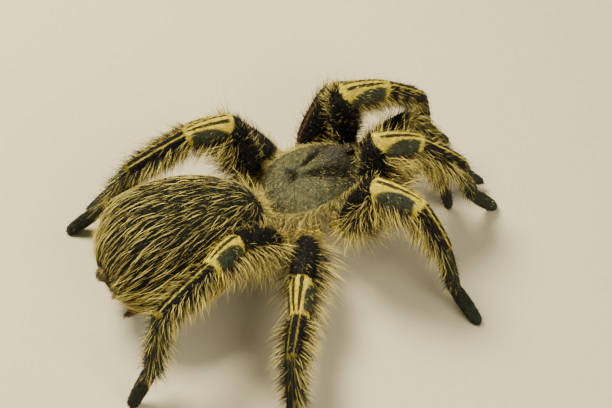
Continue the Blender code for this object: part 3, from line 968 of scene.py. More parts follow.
def markings(paint):
    """The coat's colours by place: the same on the skin and on the tufts."""
    sine, cosine, share = paint.mark("place")
    femur, patella, tibia = paint.mark("limbs")
    foot, tan, abdomen = paint.mark("others")
    turn = paint.add("ShaderNodeMath", {"operation": "ARCTAN2"}, sine, cosine)
    angle = abs(turn)
    wobble = (paint.spots(0.9, 1.0) - 0.5) * 0.16
    patches = paint.spots(0.7, 3.0)
    gold_tone = paint.mix(patches.above(0.35, 0.7), GOLD, PALE_GOLD)
    angle = angle + wobble
    colour = paint.mix(angle.above(1.9, 2.7) * 0.6, VELVET, RUSSET)
    # Femur: velvet, a pale band at its root, and on the second legs a thin orange line down the back.
    line = (1.0 - abs(angle - 0.05).above(0.03, 0.1)) * share.above(0.05, 0.15) * share.below(0.85, 0.95)
    colour = paint.mix(femur.above(0.6, 0.9) * line * 0.35, colour, ORANGE)
    colour = paint.mix(femur.above(0.1, 0.4) * share.below(0.05, 0.15) * 0.75, colour, DULL_GOLD)
    # Patella: a gold ring, three gold lines that draw together, and a green-black flank in a gold rim.
    spine = 1.0 - 0.45 * share
    dark = 1.0 - abs(angle / spine - 0.38).above(0.14, 0.22)
    dark = dark * share.above(-0.06, 0.02) * share.below(0.9, 0.97)
    oval = ((share - 0.68) / 0.62) ** 2 + ((angle - 1.75) / 1.2) ** 2
    flank_share = oval.below(0.78, 1.04) * share.below(0.86, 0.93)
    belly = angle.above(1.95, 2.3) * share.below(0.88, 0.95)
    flank = paint.mix(patches.above(0.4, 0.65) * 0.6, FLANK_GREEN, FOOT_GREEN)
    gold = paint.mix(dark * 0.95, gold_tone, VELVET)
    gold = paint.mix(flank_share, gold, flank)
    colour = paint.mix(patella, colour, paint.mix(belly, gold, RUSSET))
    # Tibia: two gold lines on the back and a small pale patch at the far end.
    line = (1.0 - abs(angle - 0.42).above(0.06, 0.14)) * 0.8
    ring = share.above(0.97, 1.0) * angle.below(0.9, 1.4) * 0.55
    colour = paint.mix(tibia * line.most(ring), colour, gold_tone)
    # Feet: dark with a green cast, one faint line, a pale joint between metatarsus and tarsus.
    sole = paint.mix(foot.above(0.2, 0.8), colour, FOOT_GREEN)
    faint = (1.0 - abs(angle - 0.3).above(0.05, 0.15)) * 0.12 * foot.below(1.2, 1.6)
    joint = share.above(0.95, 0.98) * foot.below(1.2, 1.6) * 0.25
    colour = paint.mix(foot.above(0.2, 0.8) * faint.most(joint), sole, DULL_GOLD)
    # Coxae: tan with russet patches, and a pale rim where the leg begins.
    socket = paint.mix(patches.above(0.45, 0.75) * 0.7, TAN, RUSSET)
    colour = paint.mix(tan, colour, paint.mix(share.above(0.82, 0.9), socket, PALE_GOLD))
    low = angle.above(1.6, 2.5) * 0.5 + share.above(0.75, 1.0) * 0.2
    colour = paint.mix(abdomen, colour, paint.mix(low, ABDOMEN_BLACK, RUSSET))
    return colour


def skin_paint():
    paint = Paint("tarantula_skin", 0.8, Specular_IOR_Level=0.2)
    patches = paint.spots(1.4, 4.0)
    paint.colour(paint.shade(markings(paint), 0.55 + 0.5 * patches))
    paint.bump(paint.spots(5.0, 3.0), 0.7, 0.25)
    return paint


def tuft_paint():
    """Tufts take the marking at their root, or a pale hair's own colour, by their tone."""
    paint = Paint("tarantula_tufts", 0.55, Specular_IOR_Level=0.25)
    tip, tone, warmth = paint.mark("strand")
    pale = paint.mix(warmth.above(0.35, 0.9), TAN_HAIR, PALE_HAIR)
    pale = paint.mix(warmth.below(0.05, 0.25), pale, RED_HAIR)
    colour = paint.mix(tone * tip.above(-0.15, 0.3), markings(paint), pale)
    paint.colour(paint.shade(colour, (0.65 + 0.5 * tip) * (0.5 + 0.9 * warmth) * (1.0 + 0.25 * tone)))
    return paint


def carapace_paint(name, roughness):
    """Olive over the thorax, brown over the head, painted shade in the grooves, pale at the edge."""
    paint = Paint(name, roughness, Specular_IOR_Level=0.22)
    across, along, edge = paint.mark("plate")
    carved, _, _ = paint.mark("relief")
    patches = paint.spots(0.6, 4.0)
    olive = paint.mix(patches.above(0.35, 0.65), OLIVE, LIGHT_OLIVE)
    head = along.below(-0.5, -0.05) * abs(across).below(0.3, 0.6)
    colour = paint.mix(head, olive, CAPUT_BROWN)
    # Painted shade: the grooves and the pit get darker the deeper they are carved.
    colour = paint.mix(carved.above(0.1, 0.7) * 0.85, colour, GROOVE_SHADE)
    colour = paint.mix(edge, colour, EDGE_GOLD)
    return paint, colour


def plate_paint():
    paint, colour = carapace_paint("carapace_plate", 0.7)
    grain = paint.spots(4.0, 3.0)
    paint.colour(paint.shade(colour, 0.6 + 0.45 * grain))
    paint.bump(grain, 0.5, 0.15)
    return paint


def mound_paint():
    paint = Paint("eye_mound", 0.85, Specular_IOR_Level=0.1)
    paint.colour(paint.mix(paint.spots(1.5), MOUND_DARK, MOUND_BROWN))
    paint.bump(paint.spots(5.0), 0.5, 0.1)
    return paint


def plate_tuft_paint():
    paint, colour = carapace_paint("carapace_tufts", 0.6)
    tip, tone, warmth = paint.mark("strand")
    pale = paint.mix(warmth.above(0.3, 0.9), PLATE_HAIR_DULL, PLATE_HAIR_PALE)
    paint.colour(paint.shade(paint.mix(tone, colour, pale), (0.6 + 0.5 * tip) * (0.6 + 0.7 * warmth)))
    return paint


def eye_paint():
    paint = Paint("eye_gloss", 0.06, IOR=1.5)
    paint.colour(paint.mix(paint.spots(0.8), EYE_BLACK, EYE_BROWN))
    return paint


def horn_paint():
    """Polished black horn that turns red-brown in soft patches."""
    paint = Paint("fang_horn", 0.18, IOR=1.55)
    paint.colour(paint.mix(paint.spots(0.35, 1.0).above(0.45, 0.75), HORN_BLACK, HORN_RED))
    paint.bump(paint.spots(3.0, 2.0), 0.1, 0.05)
    return paint


# ---------------------------------------------------------------- the coat


def unit_scatter(vectors, amount):
    return unit(vectors + amount * rng.standard_normal(vectors.shape))


def flattened(vectors, normals):
    """The part of each vector that lies in the surface, made one long."""
    return unit(vectors - (vectors * normals).sum(1, keepdims=True) * normals)


def spaced(points, spacing):
    """Picks one of the points in each cell of space, so that they don't bunch."""
    key = np.floor(points / spacing).astype(np.int64)
    _, chosen = np.unique(key, axis=0, return_index=True)
    return chosen


class Hairs:
    """Hairs of one kind: their roots on a surface, the normals there and where each root lies."""

    def __init__(self, points, normals):
        self.points = points
        self.normals = normals
        self.count = len(points)
        self.at = survey(points)

    def vary(self, least=0.0, spread=1.0):
        """A random number for each hair."""
        return least + spread * rng.random(self.count)

    def some(self, share, tone, rest=0.0):
        """One tone for this share of the hairs, and the rest's for the others."""
        return np.where(rng.random(self.count) < share, tone, rest)

    def lie(self, scatter, way=None):
        """Ways along the surface: the lie of the coat or the way given, scattered."""
        way = self.at["lie"] if way is None else np.broadcast_to(way, self.points.shape)
        return flattened(unit_scatter(way, scatter), self.normals)

    def rising(self, lie, degrees):
        """Ways that rise from the surface by this angle along the lie."""
        lift = np.broadcast_to(np.radians(degrees), self.count)[:, None]
        return unit(lie * np.cos(lift) + self.normals * np.sin(lift))


def settled(faces, first_new):
    """Sorts each run of the faces with a new corner, because edit mode adds them in any order."""
    loose = faces.max(axis=1) >= first_new
    run = np.cumsum(~loose)[loose]
    added = faces[loose]
    turns = (added.argmin(axis=1)[:, None] + np.arange(3)) % 3
    added = np.take_along_axis(added, turns, axis=1)
    faces[loose] = added[np.lexsort((*added.T[::-1], run))]
    return faces


class Ground:
    """A surface that hair grows from: its triangles, their areas and normals, in millimetres."""

    def __init__(self, mesh, first_new=None):
        faces = triangles_of(mesh)
        if first_new is not None:
            faces = settled(faces, first_new)
        self.corners = points_of(mesh)[faces]
        first = self.corners[:, 1] - self.corners[:, 0]
        cross = np.cross(first, self.corners[:, 2] - self.corners[:, 0])
        self.areas = np.linalg.norm(cross, axis=1) / 2
        self.normals = unit(cross)
        self.middles = self.corners.mean(axis=1)

    def roots(self, density):
        """Random points with this many to a square millimetre on each triangle, and their normals."""
        weight = np.cumsum(self.areas * density)
        count = int(round(weight[-1]))
        chosen = np.searchsorted(weight, rng.random(count) * weight[-1])
        first, second = rng.random((2, count))
        flip = first + second > 1.0
        first[flip], second[flip] = 1.0 - first[flip], 1.0 - second[flip]
        corner = self.corners[chosen]
        points = corner[:, 0] + first[:, None] * (corner[:, 1] - corner[:, 0])
        points += second[:, None] * (corner[:, 2] - corner[:, 0])
        return points, self.normals[chosen]

    def hairs(self, where, density):
        """Hairs on the triangles of one region."""
        return Hairs(*self.roots(np.where(where, density, 0.0)))


def spike_faces(rings):
    """Triangles of one three-sided spike: its foot, the stretches between its rings, and its tip."""
    faces = [(0, 2, 1)]
    for ring in range(rings - 1):
        for turn in range(3):
            a = 3 * ring + turn
            b = 3 * ring + (turn + 1) % 3
            faces += [(a, b, b + 3), (a, b + 3, a + 3)]
    last = 3 * (rings - 1)
    faces += [(last + turn, last + (turn + 1) % 3, last + 3) for turn in range(3)]
    return np.array(faces)


def spike_rows(rings):
    """For each point of a spike, its share along and its offset on the coat's unwrap."""
    share = np.append(np.repeat(np.arange(rings) / rings, 3), 1.0)
    across = np.append(np.tile([-0.5, 0.5, 0.0], rings), 0.0)
    return share, TUFT_PATCH * np.stack([across, share - 0.5], 1)


class Tufts:
    """Tufts gathered for one piece of the coat; patch_of gives each root's place on the unwrap."""

    def __init__(self, patch_of, marks_at=None):
        self.patch_of = patch_of
        self.marks_at = marks_at or (lambda hairs: marks_of(hairs.at))
        self.points = []
        self.faces = []
        self.patches = []
        self.marks = {}
        self.count = 0

    def grow(self, hairs, first, last, length, radius, rings, tone, warmth, wave=0.0, curl=0.0):
        """Adds curved spikes that leave their roots the first way and end the last way."""
        if hairs.count == 0:
            return
        count = hairs.count
        length = np.broadcast_to(length, count)[:, None]
        rise = np.maximum(length * (first + last)[:, 2:] / 2, 1e-6)
        length = length * np.minimum(1.0, np.maximum(HAIR_TOP - hairs.points[:, 2:], 0.4) / rise)
        side = unit(np.cross(first, hairs.normals) + 1e-6)
        turns = np.radians([90.0, 210.0, 330.0]) + rng.random((count, 1)) * 2.0
        phase = rng.random((count, 1)) * 2.0 * np.pi

        def middles(share):
            """The middle line of every spike at a share of its length."""
            bend = share * first + share**2 / 2 * (last - first)
            swing = (np.sin(CURL_RATE * share + phase) - np.sin(phase)) * min(1.0, 2.0 * share)
            return hairs.points + length * bend + wave * share**1.5 + side * curl * swing

        layers = []
        for ring in range(rings):
            share = ring / rings
            along = unit(first + share * (last - first))
            across = unit(side - (side * along).sum(1, keepdims=True) * along)
            upward = np.cross(across, along)
            spokes = np.cos(turns)[:, :, None] * across[:, None]
            spokes = spokes + np.sin(turns)[:, :, None] * upward[:, None]
            layers.append(middles(share)[:, None] + radius * (1.0 - share) ** 0.6 * spokes)
        layers.append(middles(1.0)[:, None])
        points = np.concatenate(layers, axis=1)
        points[:, :, 2] = np.maximum(points[:, :, 2], FLOOR_CLEARANCE)
        self.gather(hairs, points, rings, tone, warmth)

    def gather(self, hairs, points, rings, tone, warmth):
        """Keeps the spikes' points and faces with their places on the unwrap and their marks."""
        count, per, _ = points.shape
        share, shift = spike_rows(rings)
        columns = (share, np.broadcast_to(tone, count)[:, None], np.broadcast_to(warmth, count)[:, None])
        strand = np.stack([np.broadcast_to(column, (count, per)) for column in columns], axis=2)
        index = self.count + per * np.arange(count)[:, None, None]
        self.points.append(points.reshape(-1, 3))
        self.faces.append((index + spike_faces(rings)[None]).reshape(-1, 3))
        self.patches.append((self.patch_of(hairs)[:, None] + shift[None]).reshape(-1, 2))
        marks = {key: np.repeat(value, per, axis=0) for key, value in self.marks_at(hairs).items()}
        marks["strand"] = strand.reshape(-1, 3)
        for key, value in marks.items():
            self.marks.setdefault(key, []).append(value)
        self.count += per * count

    def piece(self, name, paint):
        mesh = bpy.data.meshes.new(name)
        points = np.concatenate(self.points) * MM
        faces = np.concatenate(self.faces)
        mesh.vertices.add(len(points))
        mesh.vertices.foreach_set("co", points.astype(np.float32).ravel())
        mesh.loops.add(faces.size)
        mesh.loops.foreach_set("vertex_index", faces.astype(np.int32).ravel())
        mesh.polygons.add(len(faces))
        mesh.polygons.foreach_set("loop_start", np.arange(0, faces.size, 3, dtype=np.int32))
        mesh.update(calc_edges=True)
        mesh.polygons.foreach_set("use_smooth", np.ones(len(faces), bool))
        layer = mesh.uv_layers.new(name="OFBake")
        patches = np.concatenate(self.patches)[faces.ravel()]
        layer.uv.foreach_set("vector", np.clip(patches, 0.0, 1.0).astype(np.float32).ravel())
        store_marks(mesh, {key: np.concatenate(values) for key, values in self.marks.items()})
        item = bpy.data.objects.new(name, mesh)
        bpy.context.scene.collection.objects.link(item)
        paint.on(item)
        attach(item, "root")
        return item


def round_about(hairs):
    """A root's place across the unwrap, by its angle round its part."""
    return 0.02 + 0.96 * (hairs.at["turn"] / (2.0 * np.pi) + 0.5)


def limb_patch(hairs):
    """A limb unrolled: round it across, and one band for each of its five parts upward."""
    band = np.maximum(hairs.at["kind"], 1) - 1
    upward = (band + 0.05 + 0.9 * np.clip(hairs.at["share"], 0.0, 1.0)) / len(LEG_PARTS)
    return np.stack([round_about(hairs), upward], 1)


def abdomen_patch(hairs):
    return np.stack([round_about(hairs), 0.02 + 0.96 * hairs.at["share"]], 1)


def body_patch(hairs):
    """The body seen from above."""
    inside = local(hairs.points, BODY)
    return np.stack([0.5 + inside[:, 0] / 44.0, 0.5 + inside[:, 1] / 48.0], 1)


def limb_coat(limb, ground, found, paint):
    """Down, upright bristles and the long fringe of one leg or palp."""
    tufts = Tufts(limb_patch)
    here = (found["limb"] == LIMBS.index(limb)) & (found["kind"] > 0)
    palp = limb.startswith("palp")
    slim = PALP_SLIMNESS if palp else 1.0

    hairs = ground.hairs(here, by_part(found, DOWN_DENSITY))
    lie = hairs.lie(0.12)
    first = hairs.rising(lie, by_part(hairs.at, DOWN_RISE))
    length = by_part(hairs.at, DOWN_LENGTH) * slim * hairs.vary(0.7, 0.6)
    tufts.grow(hairs, first, lie, length, radius=0.085, rings=1, tone=0.0, warmth=hairs.vary())

    bushy = 1.6 if palp else 1.0
    density = np.where(found["kind"] == KINDS.index("patella"), bushy**2, 1.0) * bushy
    hairs = ground.hairs(here, by_part(found, BRISTLE_DENSITY) * density)
    lie = hairs.lie(0.3)
    first = hairs.rising(lie, hairs.vary(42.0, 28.0))
    last = hairs.rising(lie, hairs.vary(15.0, 30.0))
    length = by_part(hairs.at, BRISTLE_LENGTH) * slim * bushy * hairs.vary(0.6, 0.7)
    tone = hairs.some(by_part(hairs.at, BRISTLE_PALE), 0.9)
    tufts.grow(hairs, first, last, length, radius=0.05, rings=2, tone=tone, warmth=0.8 * hairs.vary())

    limb_fringe(tufts, limb, ground, found, here, slim)
    return tufts.piece(f"coat_{limb}", paint)


def limb_fringe(tufts, limb, ground, found, here, slim):
    """The fringe on a limb's flanks and belly: a dark undercoat, and long pale hairs over it."""
    shaggy = SHAGGY.get(limb[-1], 0.3)
    shorter = 1.0
    if limb == "leg_left_1":
        shaggy = 0.15
        shorter = 0.45
    bare = by_part(found, (1.45, 1.75, 1.5 - 0.6 * shaggy, 1.5 - 1.15 * shaggy, 0.0))
    belly = np.clip((np.abs(found["turn"]) - bare) / 0.5, 0.0, 1.0)
    density = by_part(found, (2.8, 2.6, 3.0 + 0.9 * shaggy, 3.6 * max(0.35, shaggy), 0.0))
    longest = [shorter * length for length in (10.0, 7.2, 6.8, 2.0 + 3.8 * shaggy, 0.0)]
    for amount, share, shade, radius in FRINGES:
        hairs = ground.hairs(here, amount * density * belly)
        lie = hairs.lie(0.22)
        first = hairs.rising(lie, hairs.vary(50.0, 22.0))
        last = unit(first * 0.8 + lie * 0.3 - 0.3 * UPWARD)
        length = share * by_part(hairs.at, longest) * slim * hairs.vary(0.5, 0.6)
        length = np.minimum(length, np.maximum(1.0, hairs.points[:, 2] * 1.3))
        warmth = hairs.vary()
        tone = hairs.some(by_part(hairs.at, FRINGE_PALE, 0.9), shade)
        tufts.grow(hairs, first, last, length, radius=radius, rings=3, tone=tone, warmth=warmth, curl=0.07)


def lockwise(points, tips, cell):
    """The mean tip of each hair's lock, which is the hairs rooted in one cell of space."""
    key = np.floor(points / cell).astype(np.int64)
    _, lock = np.unique(key, axis=0, return_inverse=True)
    lock = lock.reshape(-1)
    total = np.zeros((lock.max() + 1, 3))
    np.add.at(total, lock, tips)
    mean = total / np.bincount(lock)[:, None]
    return mean[lock]


def abdomen_strands(tufts, ground, here, spacing, radius, shine):
    """Pale hair drawn back along the abdomen in loose locks."""
    sparse = 0.35 + 0.65 * np.clip(1.35 - ground.normals[:, 2], 0.0, 1.0)
    points, normals = ground.roots(np.where(here, 1.6 * sparse, 0.0))
    chosen = spaced(points, spacing)
    hairs = Hairs(points[chosen], normals[chosen])
    top = np.clip((hairs.normals[:, 2] - 0.5) / 0.4, 0.0, 1.0)
    lie = hairs.lie(0.1, ABDOMEN_FLOW)
    front = np.clip(1.0 - hairs.at["share"] / 0.2, 0.0, 1.0)
    first = hairs.rising(lie, hairs.vary(10.0, 10.0) + 38.0 * front)
    last = hairs.rising(lie, hairs.vary(-34.0, 12.0) + 40.0 * front)
    length = hairs.vary(7.5, 4.0) * (0.75 + 0.3 * hairs.at["share"]) * (1.0 - 0.25 * top)
    length = np.minimum(length, np.maximum(1.5, hairs.points[:, 2] * 1.2))
    ahead = np.linalg.norm(local(hairs.points, ABDOMEN) - np.array(TUBERCLE_AT), axis=1) - 2.2
    length = np.minimum(length, np.maximum(0.8, ahead))
    length = np.where(hairs.at["kind"] == KINDS.index("tail"), 1.6, length)
    ends = hairs.points + length[:, None] * (first + last) / 2
    wave = 0.2 * (lockwise(hairs.points, ends, 2.4) - ends) + 0.22 * rng.standard_normal(ends.shape)
    low = np.clip((ABDOMEN_AT.z + 2.0 - hairs.points[:, 2]) / 12.0, 0.0, 1.0)
    warmth = np.clip(hairs.vary() + 0.15 - 0.4 * low, 0.0, 1.0)
    tufts.grow(
        hairs, first, last, length,
        radius=radius, rings=6, tone=shine, warmth=warmth, wave=wave, curl=0.13,
    )


def waist_brush(tufts, ground, found, here):
    """The tan brush over the waist."""
    hairs = ground.hairs(here, 3.2 * np.clip(1.0 - found["share"] / 0.16, 0.0, 1.0))
    lie = hairs.lie(0.5, ABDOMEN_FLOW)
    first = hairs.rising(lie, hairs.vary(55.0, 25.0))
    last = hairs.rising(lie, hairs.vary(30.0, 30.0))
    length = hairs.vary(3.0, 2.2)
    tufts.grow(hairs, first, last, length, radius=0.05, rings=3, tone=0.9, warmth=hairs.vary(), curl=0.12)


def abdomen_coat(ground, found, paint):
    here = np.isin(found["kind"], [KINDS.index("abdomen"), KINDS.index("tail")])
    velvet = Tufts(abdomen_patch)
    hairs = ground.hairs(here, 7.5)
    lie = hairs.lie(0.15, ABDOMEN_FLOW)
    length = hairs.vary(1.1, 0.7)
    tone = hairs.some(0.12, 0.35)
    velvet.grow(
        hairs, hairs.rising(lie, 28.0), lie, length, radius=0.1, rings=1, tone=tone, warmth=hairs.vary()
    )
    velvet.piece("coat_abdomen_velvet", paint)
    upper = ground.middles[:, 2] > ABDOMEN_AT.z + 3.0
    for name, part in (("upper", here & upper), ("lower", here & ~upper)):
        tufts = Tufts(abdomen_patch)
        for spacing, radius, shine in ABDOMEN_STRANDS:
            abdomen_strands(tufts, ground, part, spacing, radius, shine)
        waist_brush(tufts, ground, found, part)
        tufts.piece(f"coat_abdomen_{name}", paint)


def coxa_coat(tufts, ground, coxa):
    """Tan tufts and longer hair on the coxae, and hair that stands out between them."""
    hairs = ground.hairs(coxa, 7.0)
    lie = hairs.lie(0.3)
    first = hairs.rising(lie, hairs.vary(25.0, 25.0))
    length = hairs.vary(1.4, 1.8)
    warmth = hairs.vary()
    tufts.grow(hairs, first, lie, length, radius=0.075, rings=2, tone=hairs.some(0.5, 0.75), warmth=warmth)

    hairs = ground.hairs(coxa, 2.8)
    lie = hairs.lie(0.45, hairs.at["lie"] - 0.5 * UPWARD)
    first = hairs.rising(lie, hairs.vary(40.0, 35.0))
    length = hairs.vary(3.0, 3.2)
    tone = hairs.some(0.6, 0.95)
    tufts.grow(hairs, first, lie, length, radius=0.05, rings=3, tone=tone, warmth=hairs.vary(), curl=0.15)

    steep = np.abs(ground.normals[:, 2])
    hairs = ground.hairs(coxa & (steep < 0.8), 5.5)
    lie = hairs.lie(0.5)
    first = hairs.rising(lie, hairs.vary(65.0, 22.0))
    length = hairs.vary(1.6, 1.6)
    tufts.grow(
        hairs, first, unit(first + 0.4 * lie), length, radius=0.12, rings=1, tone=0.0, warmth=hairs.vary()
    )
    hairs = ground.hairs(coxa & (steep < 0.75), 4.0)
    lie = hairs.lie(0.5)
    first = hairs.rising(lie, hairs.vary(62.0, 25.0))
    length = hairs.vary(1.8, 2.4)
    tone = hairs.some(0.45, 0.9, 0.1)
    tufts.grow(
        hairs, first, unit(first + 0.5 * lie), length,
        radius=0.065, rings=2, tone=tone, warmth=hairs.vary(),
    )


def underside_coat(ground, found, paint):
    """The coxae's coat, dark fur on the breast plate and bristly fur on the jaws."""
    tufts = Tufts(body_patch)
    coxa_coat(tufts, ground, found["kind"] == KINDS.index("coxa"))

    hairs = ground.hairs(found["kind"] == KINDS.index("breast"), 5.0)
    lie = hairs.lie(0.3)
    tufts.grow(
        hairs, hairs.rising(lie, 30.0), lie, hairs.vary(1.2, 0.8),
        radius=0.09, rings=1, tone=0.1, warmth=0.3,
    )

    jaw = found["kind"] == KINDS.index("jaw")
    hairs = ground.hairs(jaw, 9.0)
    lie = hairs.lie(0.2)
    length = hairs.vary(1.0, 0.9)
    tufts.grow(
        hairs, hairs.rising(lie, 25.0), lie, length,
        radius=0.08, rings=1, tone=hairs.some(0.4, 0.6), warmth=0.5,
    )
    hairs = ground.hairs(jaw, 1.4)
    lie = hairs.lie(0.3)
    length = hairs.vary(2.0, 2.0)
    tufts.grow(
        hairs, hairs.rising(lie, 45.0), lie, length,
        radius=0.055, rings=2, tone=0.9, warmth=0.6 * hairs.vary(),
    )
    tufts.piece("coat_underside", paint)


def plate_marks(points):
    """Across, along and nearness to the edge of the carapace, and the depth of its grooves."""
    inside = local(points, BODY)
    along = inside[:, 1] / (CARAPACE_LENGTH / 2)
    half = np.array([half_width(share) for share in np.clip(along, -1.0, 1.0)])
    across = inside[:, 0] / (CARAPACE_WIDTH / 2)
    reach = np.maximum(np.abs(inside[:, 0]) / np.maximum(half, 0.1), np.abs(along))
    edge = np.clip((reach - 0.88) / 0.1, 0.0, 1.0)
    carved = np.clip(relief(inside[:, 0], inside[:, 1]), 0.0, 1.0)
    return {"plate": np.stack([across, along, edge], 1), "relief": np.outer(carved, (1.0, 0.0, 0.0))}


def over_plate(hairs, scatter):
    """Ways outward from the pit over the thorax, and forward over the head."""
    spot = local(hairs.points, BODY)
    out = unit(spot[:, :2] - np.array([0.0, FOVEA]))
    head = np.clip((-spot[:, 1] - 1.0) / 6.0, 0.0, 1.0)
    head = (head * np.clip(1.2 - np.abs(spot[:, 0]) / 7.0, 0.0, 1.0))[:, None]
    out = unit(out * (1.0 - head) + np.array([0.0, -1.0]) * head)
    return hairs.lie(scatter, to_world(out, 0.0))


def to_world(flat, rise):
    """Ways in the body's own plane, with the rise given, turned into the world's."""
    return np.concatenate([flat, np.full((len(flat), 1), rise)], 1) @ BODY_AXES.T


def plate_coat(tufts, ground, facing):
    """Short down all over the plate, longer hair over the thorax and bristles over the brow."""
    inside = local(ground.middles, BODY)
    hairs = ground.hairs(facing, 12.0)
    lie = over_plate(hairs, 0.45)
    length = hairs.vary(0.4, 0.4)
    tone = hairs.some(0.4, 0.35)
    tufts.grow(
        hairs, hairs.rising(lie, 20.0), lie, length, radius=0.07, rings=1, tone=tone, warmth=hairs.vary()
    )

    head = (inside[:, 1] < -4.0) & (np.abs(inside[:, 0]) < 5.0)
    clear = np.clip((np.hypot(inside[:, 0], inside[:, 1] - FOVEA) - 2.0) / 3.0, 0.0, 1.0)
    hairs = ground.hairs(facing, np.where(head, 0.3, 1.8) * clear)
    lie = over_plate(hairs, 0.7)
    first, last = hairs.rising(lie, 30.0), hairs.rising(lie, -12.0)
    tufts.grow(
        hairs, first, last, hairs.vary(0.7, 0.8), radius=0.042, rings=3, tone=0.85, warmth=hairs.vary()
    )

    hairs = ground.hairs((inside[:, 1] < -10.2) & facing, 7.0)
    lie = over_plate(hairs, 0.4)
    first, last = hairs.rising(lie, 50.0), hairs.rising(lie, 15.0)
    length = hairs.vary(1.6, 1.8)
    tufts.grow(
        hairs, first, last, length, radius=0.045, rings=3, tone=hairs.some(0.6, 0.9), warmth=hairs.vary()
    )


def mound_coat(tufts, mound):
    """Short fur over the eye mound, and bristles round its foot."""
    hill = Ground(mound.data, first_new=0)
    height = local(hill.middles, BODY)[:, 2]
    for low, high, density, longest, rise in MOUND_HAIR:
        hairs = hill.hairs((height > low) & (height < high), density)
        lie = over_plate(hairs, 0.4)
        length = longest * hairs.vary(0.6, 0.6)
        tone = hairs.some(0.35, 0.9)
        tufts.grow(
            hairs, hairs.rising(lie, rise), lie, length,
            radius=0.05, rings=2, tone=tone, warmth=hairs.vary(),
        )


def rim_coat(tufts, ground, facing):
    """A skirt of long hair that hangs over the coxae, and the pale fringe swept back round the edge."""
    edge = plate_marks(ground.middles)["plate"][:, 2]
    behind = local(ground.middles, BODY)[:, 1] > -9.0
    hairs = ground.hairs((edge > 0.5) & (facing < 0.5) & behind, 9.0)
    out = unit(local(hairs.points, BODY)[:, :2] * np.array([1.0, 0.8]))
    first = unit_scatter(to_world(out, -0.25), 0.3)
    length = hairs.vary(2.6, 3.4)
    tone = hairs.some(0.6, 0.9)
    tufts.grow(
        hairs, first, unit(first - 0.7 * UPWARD), length,
        radius=0.06, rings=3, tone=tone, warmth=hairs.vary(),
    )

    hairs = ground.hairs(edge > 0.3, 11.0)
    spot = local(hairs.points, BODY)
    out = unit(spot[:, :2] * np.array([1.0, 0.8]))
    sweep = np.stack([-out[:, 1], out[:, 0]], 1) * np.sign(spot[:, :1])
    flat = unit(out * 0.55 + sweep * (0.8 + 0.35 * rng.standard_normal((len(out), 1))))
    first = unit_scatter(to_world(flat, 0.12), 0.15)
    length = hairs.vary(1.1, 1.4)
    tufts.grow(
        hairs, first, unit(first - 0.2 * UPWARD), length,
        radius=0.06, rings=2, tone=0.95, warmth=hairs.vary(0.3, 0.7),
    )


def carapace_coat(plate, mound, paint):
    tufts = Tufts(body_patch, lambda hairs: plate_marks(hairs.points))
    ground = Ground(plate.data, first_new=(PLATE_ACROSS + 1) * (PLATE_ALONG + 1))
    facing = ground.normals @ BODY_AXES[:, 2]
    plate_coat(tufts, ground, facing > -0.2)
    mound_coat(tufts, mound)
    rim_coat(tufts, ground, facing)
    tufts.piece("coat_carapace", paint)


# ---------------------------------------------------------------- floor, light and camera

CAMERA_TURN = math.radians(255.677)
CAMERA_LIFT = math.radians(48.755)
CAMERA_ROLL = math.radians(-3.1855)
CAMERA_DISTANCE = 375.729
CAMERA_LENS = 83.724
CAMERA_TARGET = Vector((17.257, -7.065, 2.668))
SENSOR_WIDTH = 36.0
ROOM_COLOUR = (1.0, 0.95, 0.82, 1.0)
ROOM_STRENGTH = 0.27
# Each light's place, size, power and colour.
LIGHTS = {
    "key": ((200.0, 120.0, 420.0), 220.0, 6.3, (1.0, 0.93, 0.74)),
    "front": ((-380.0, -160.0, 260.0), 300.0, 2.4, (1.0, 0.95, 0.84)),
}


def make_camera():
    back = Vector((
        math.sin(CAMERA_TURN) * math.cos(CAMERA_LIFT),
        -math.cos(CAMERA_TURN) * math.cos(CAMERA_LIFT),
        math.sin(CAMERA_LIFT),
    ))
    right = Vector((0.0, 0.0, 1.0)).cross(back).normalized()
    up = back.cross(right)
    across = right * math.cos(CAMERA_ROLL) + up * math.sin(CAMERA_ROLL)
    upward = up * math.cos(CAMERA_ROLL) - right * math.sin(CAMERA_ROLL)
    data = bpy.data.cameras.new("camera")
    data.lens = CAMERA_LENS
    data.sensor_width = SENSOR_WIDTH
    data.clip_start = 0.01
    data.clip_end = 50.0
    item = bpy.data.objects.new("camera", data)
    bpy.context.scene.collection.objects.link(item)
    turned = Matrix((across, upward, back)).transposed().to_4x4()
    item.matrix_world = Matrix.Translation((CAMERA_TARGET + back * CAMERA_DISTANCE) * MM) @ turned
    bpy.context.scene.camera = item


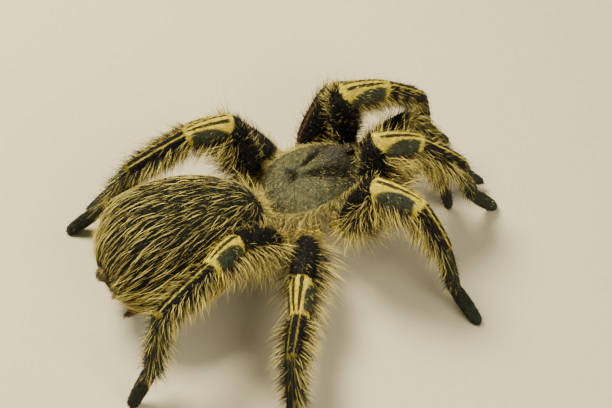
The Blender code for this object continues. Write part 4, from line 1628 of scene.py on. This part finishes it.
def area_light(name, at, size, power, colour):
    data = bpy.data.lights.new(name, "AREA")
    data.shape = "DISK"
    data.size = size * MM
    data.energy = power
    data.color = colour
    item = bpy.data.objects.new(name, data)
    bpy.context.scene.collection.objects.link(item)
    item.location = Vector(at) * MM
    item.rotation_euler = (-Vector(at)).to_track_quat("-Z", "Y").to_euler()


def make_stage():
    deselect()
    bpy.ops.mesh.primitive_plane_add(size=6.0)
    floor = bpy.context.object
    floor.name = "floor"
    paint = Paint("floor_pale", 0.9)
    paint.colour(FLOOR_PALE)
    paint.on(floor)
    world = bpy.data.worlds.new("studio")
    world.use_nodes = True
    background = world.node_tree.nodes["Background"]
    background.inputs["Color"].default_value = ROOM_COLOUR
    background.inputs["Strength"].default_value = ROOM_STRENGTH
    bpy.context.scene.world = world
    for name, light in LIGHTS.items():
        area_light(name, *light)


# ---------------------------------------------------------------- the whole model


def show_skin():
    skin = make_skin()
    store_marks(skin.data, marks_of(survey(points_of(skin.data))))
    skin_paint().on(skin)
    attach(skin, "root")
    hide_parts(*sorted(set(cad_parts) - HARD_NODES))
    return skin


def show_hard_pieces():
    """The carapace, the eye mound, the eyes, the fangs and the claws."""
    plate = make_carapace()
    store_marks(plate.data, plate_marks(points_of(plate.data)))
    plate_paint().on(plate)
    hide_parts("carapace")
    mound, eyes = make_eyes()
    mound_paint().on(mound)
    eye_paint().on(eyes)
    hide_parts("eyes")
    fangs = make_fangs()
    claws = make_claws()
    horn_paint().on(*fangs, claws)
    for side, fang in zip(SIDES, fangs):
        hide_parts(f"fang_{side}")
    for item in (plate, mound, eyes, claws, *fangs):
        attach(item, "root")
    return plate, mound


def grow_coat(skin, plate, mound):
    ground = Ground(skin.data)
    found = survey(ground.middles)
    paint = tuft_paint()
    for limb in LIMBS:
        limb_coat(limb, ground, found, paint)
    abdomen_coat(ground, found, paint)
    underside_coat(ground, found, paint)
    carapace_coat(plate, mound, plate_tuft_paint())


def main():
    make_camera()
    make_stage()
    skin = show_skin()
    plate, mound = show_hard_pieces()
    grow_coat(skin, plate, mound)


main()
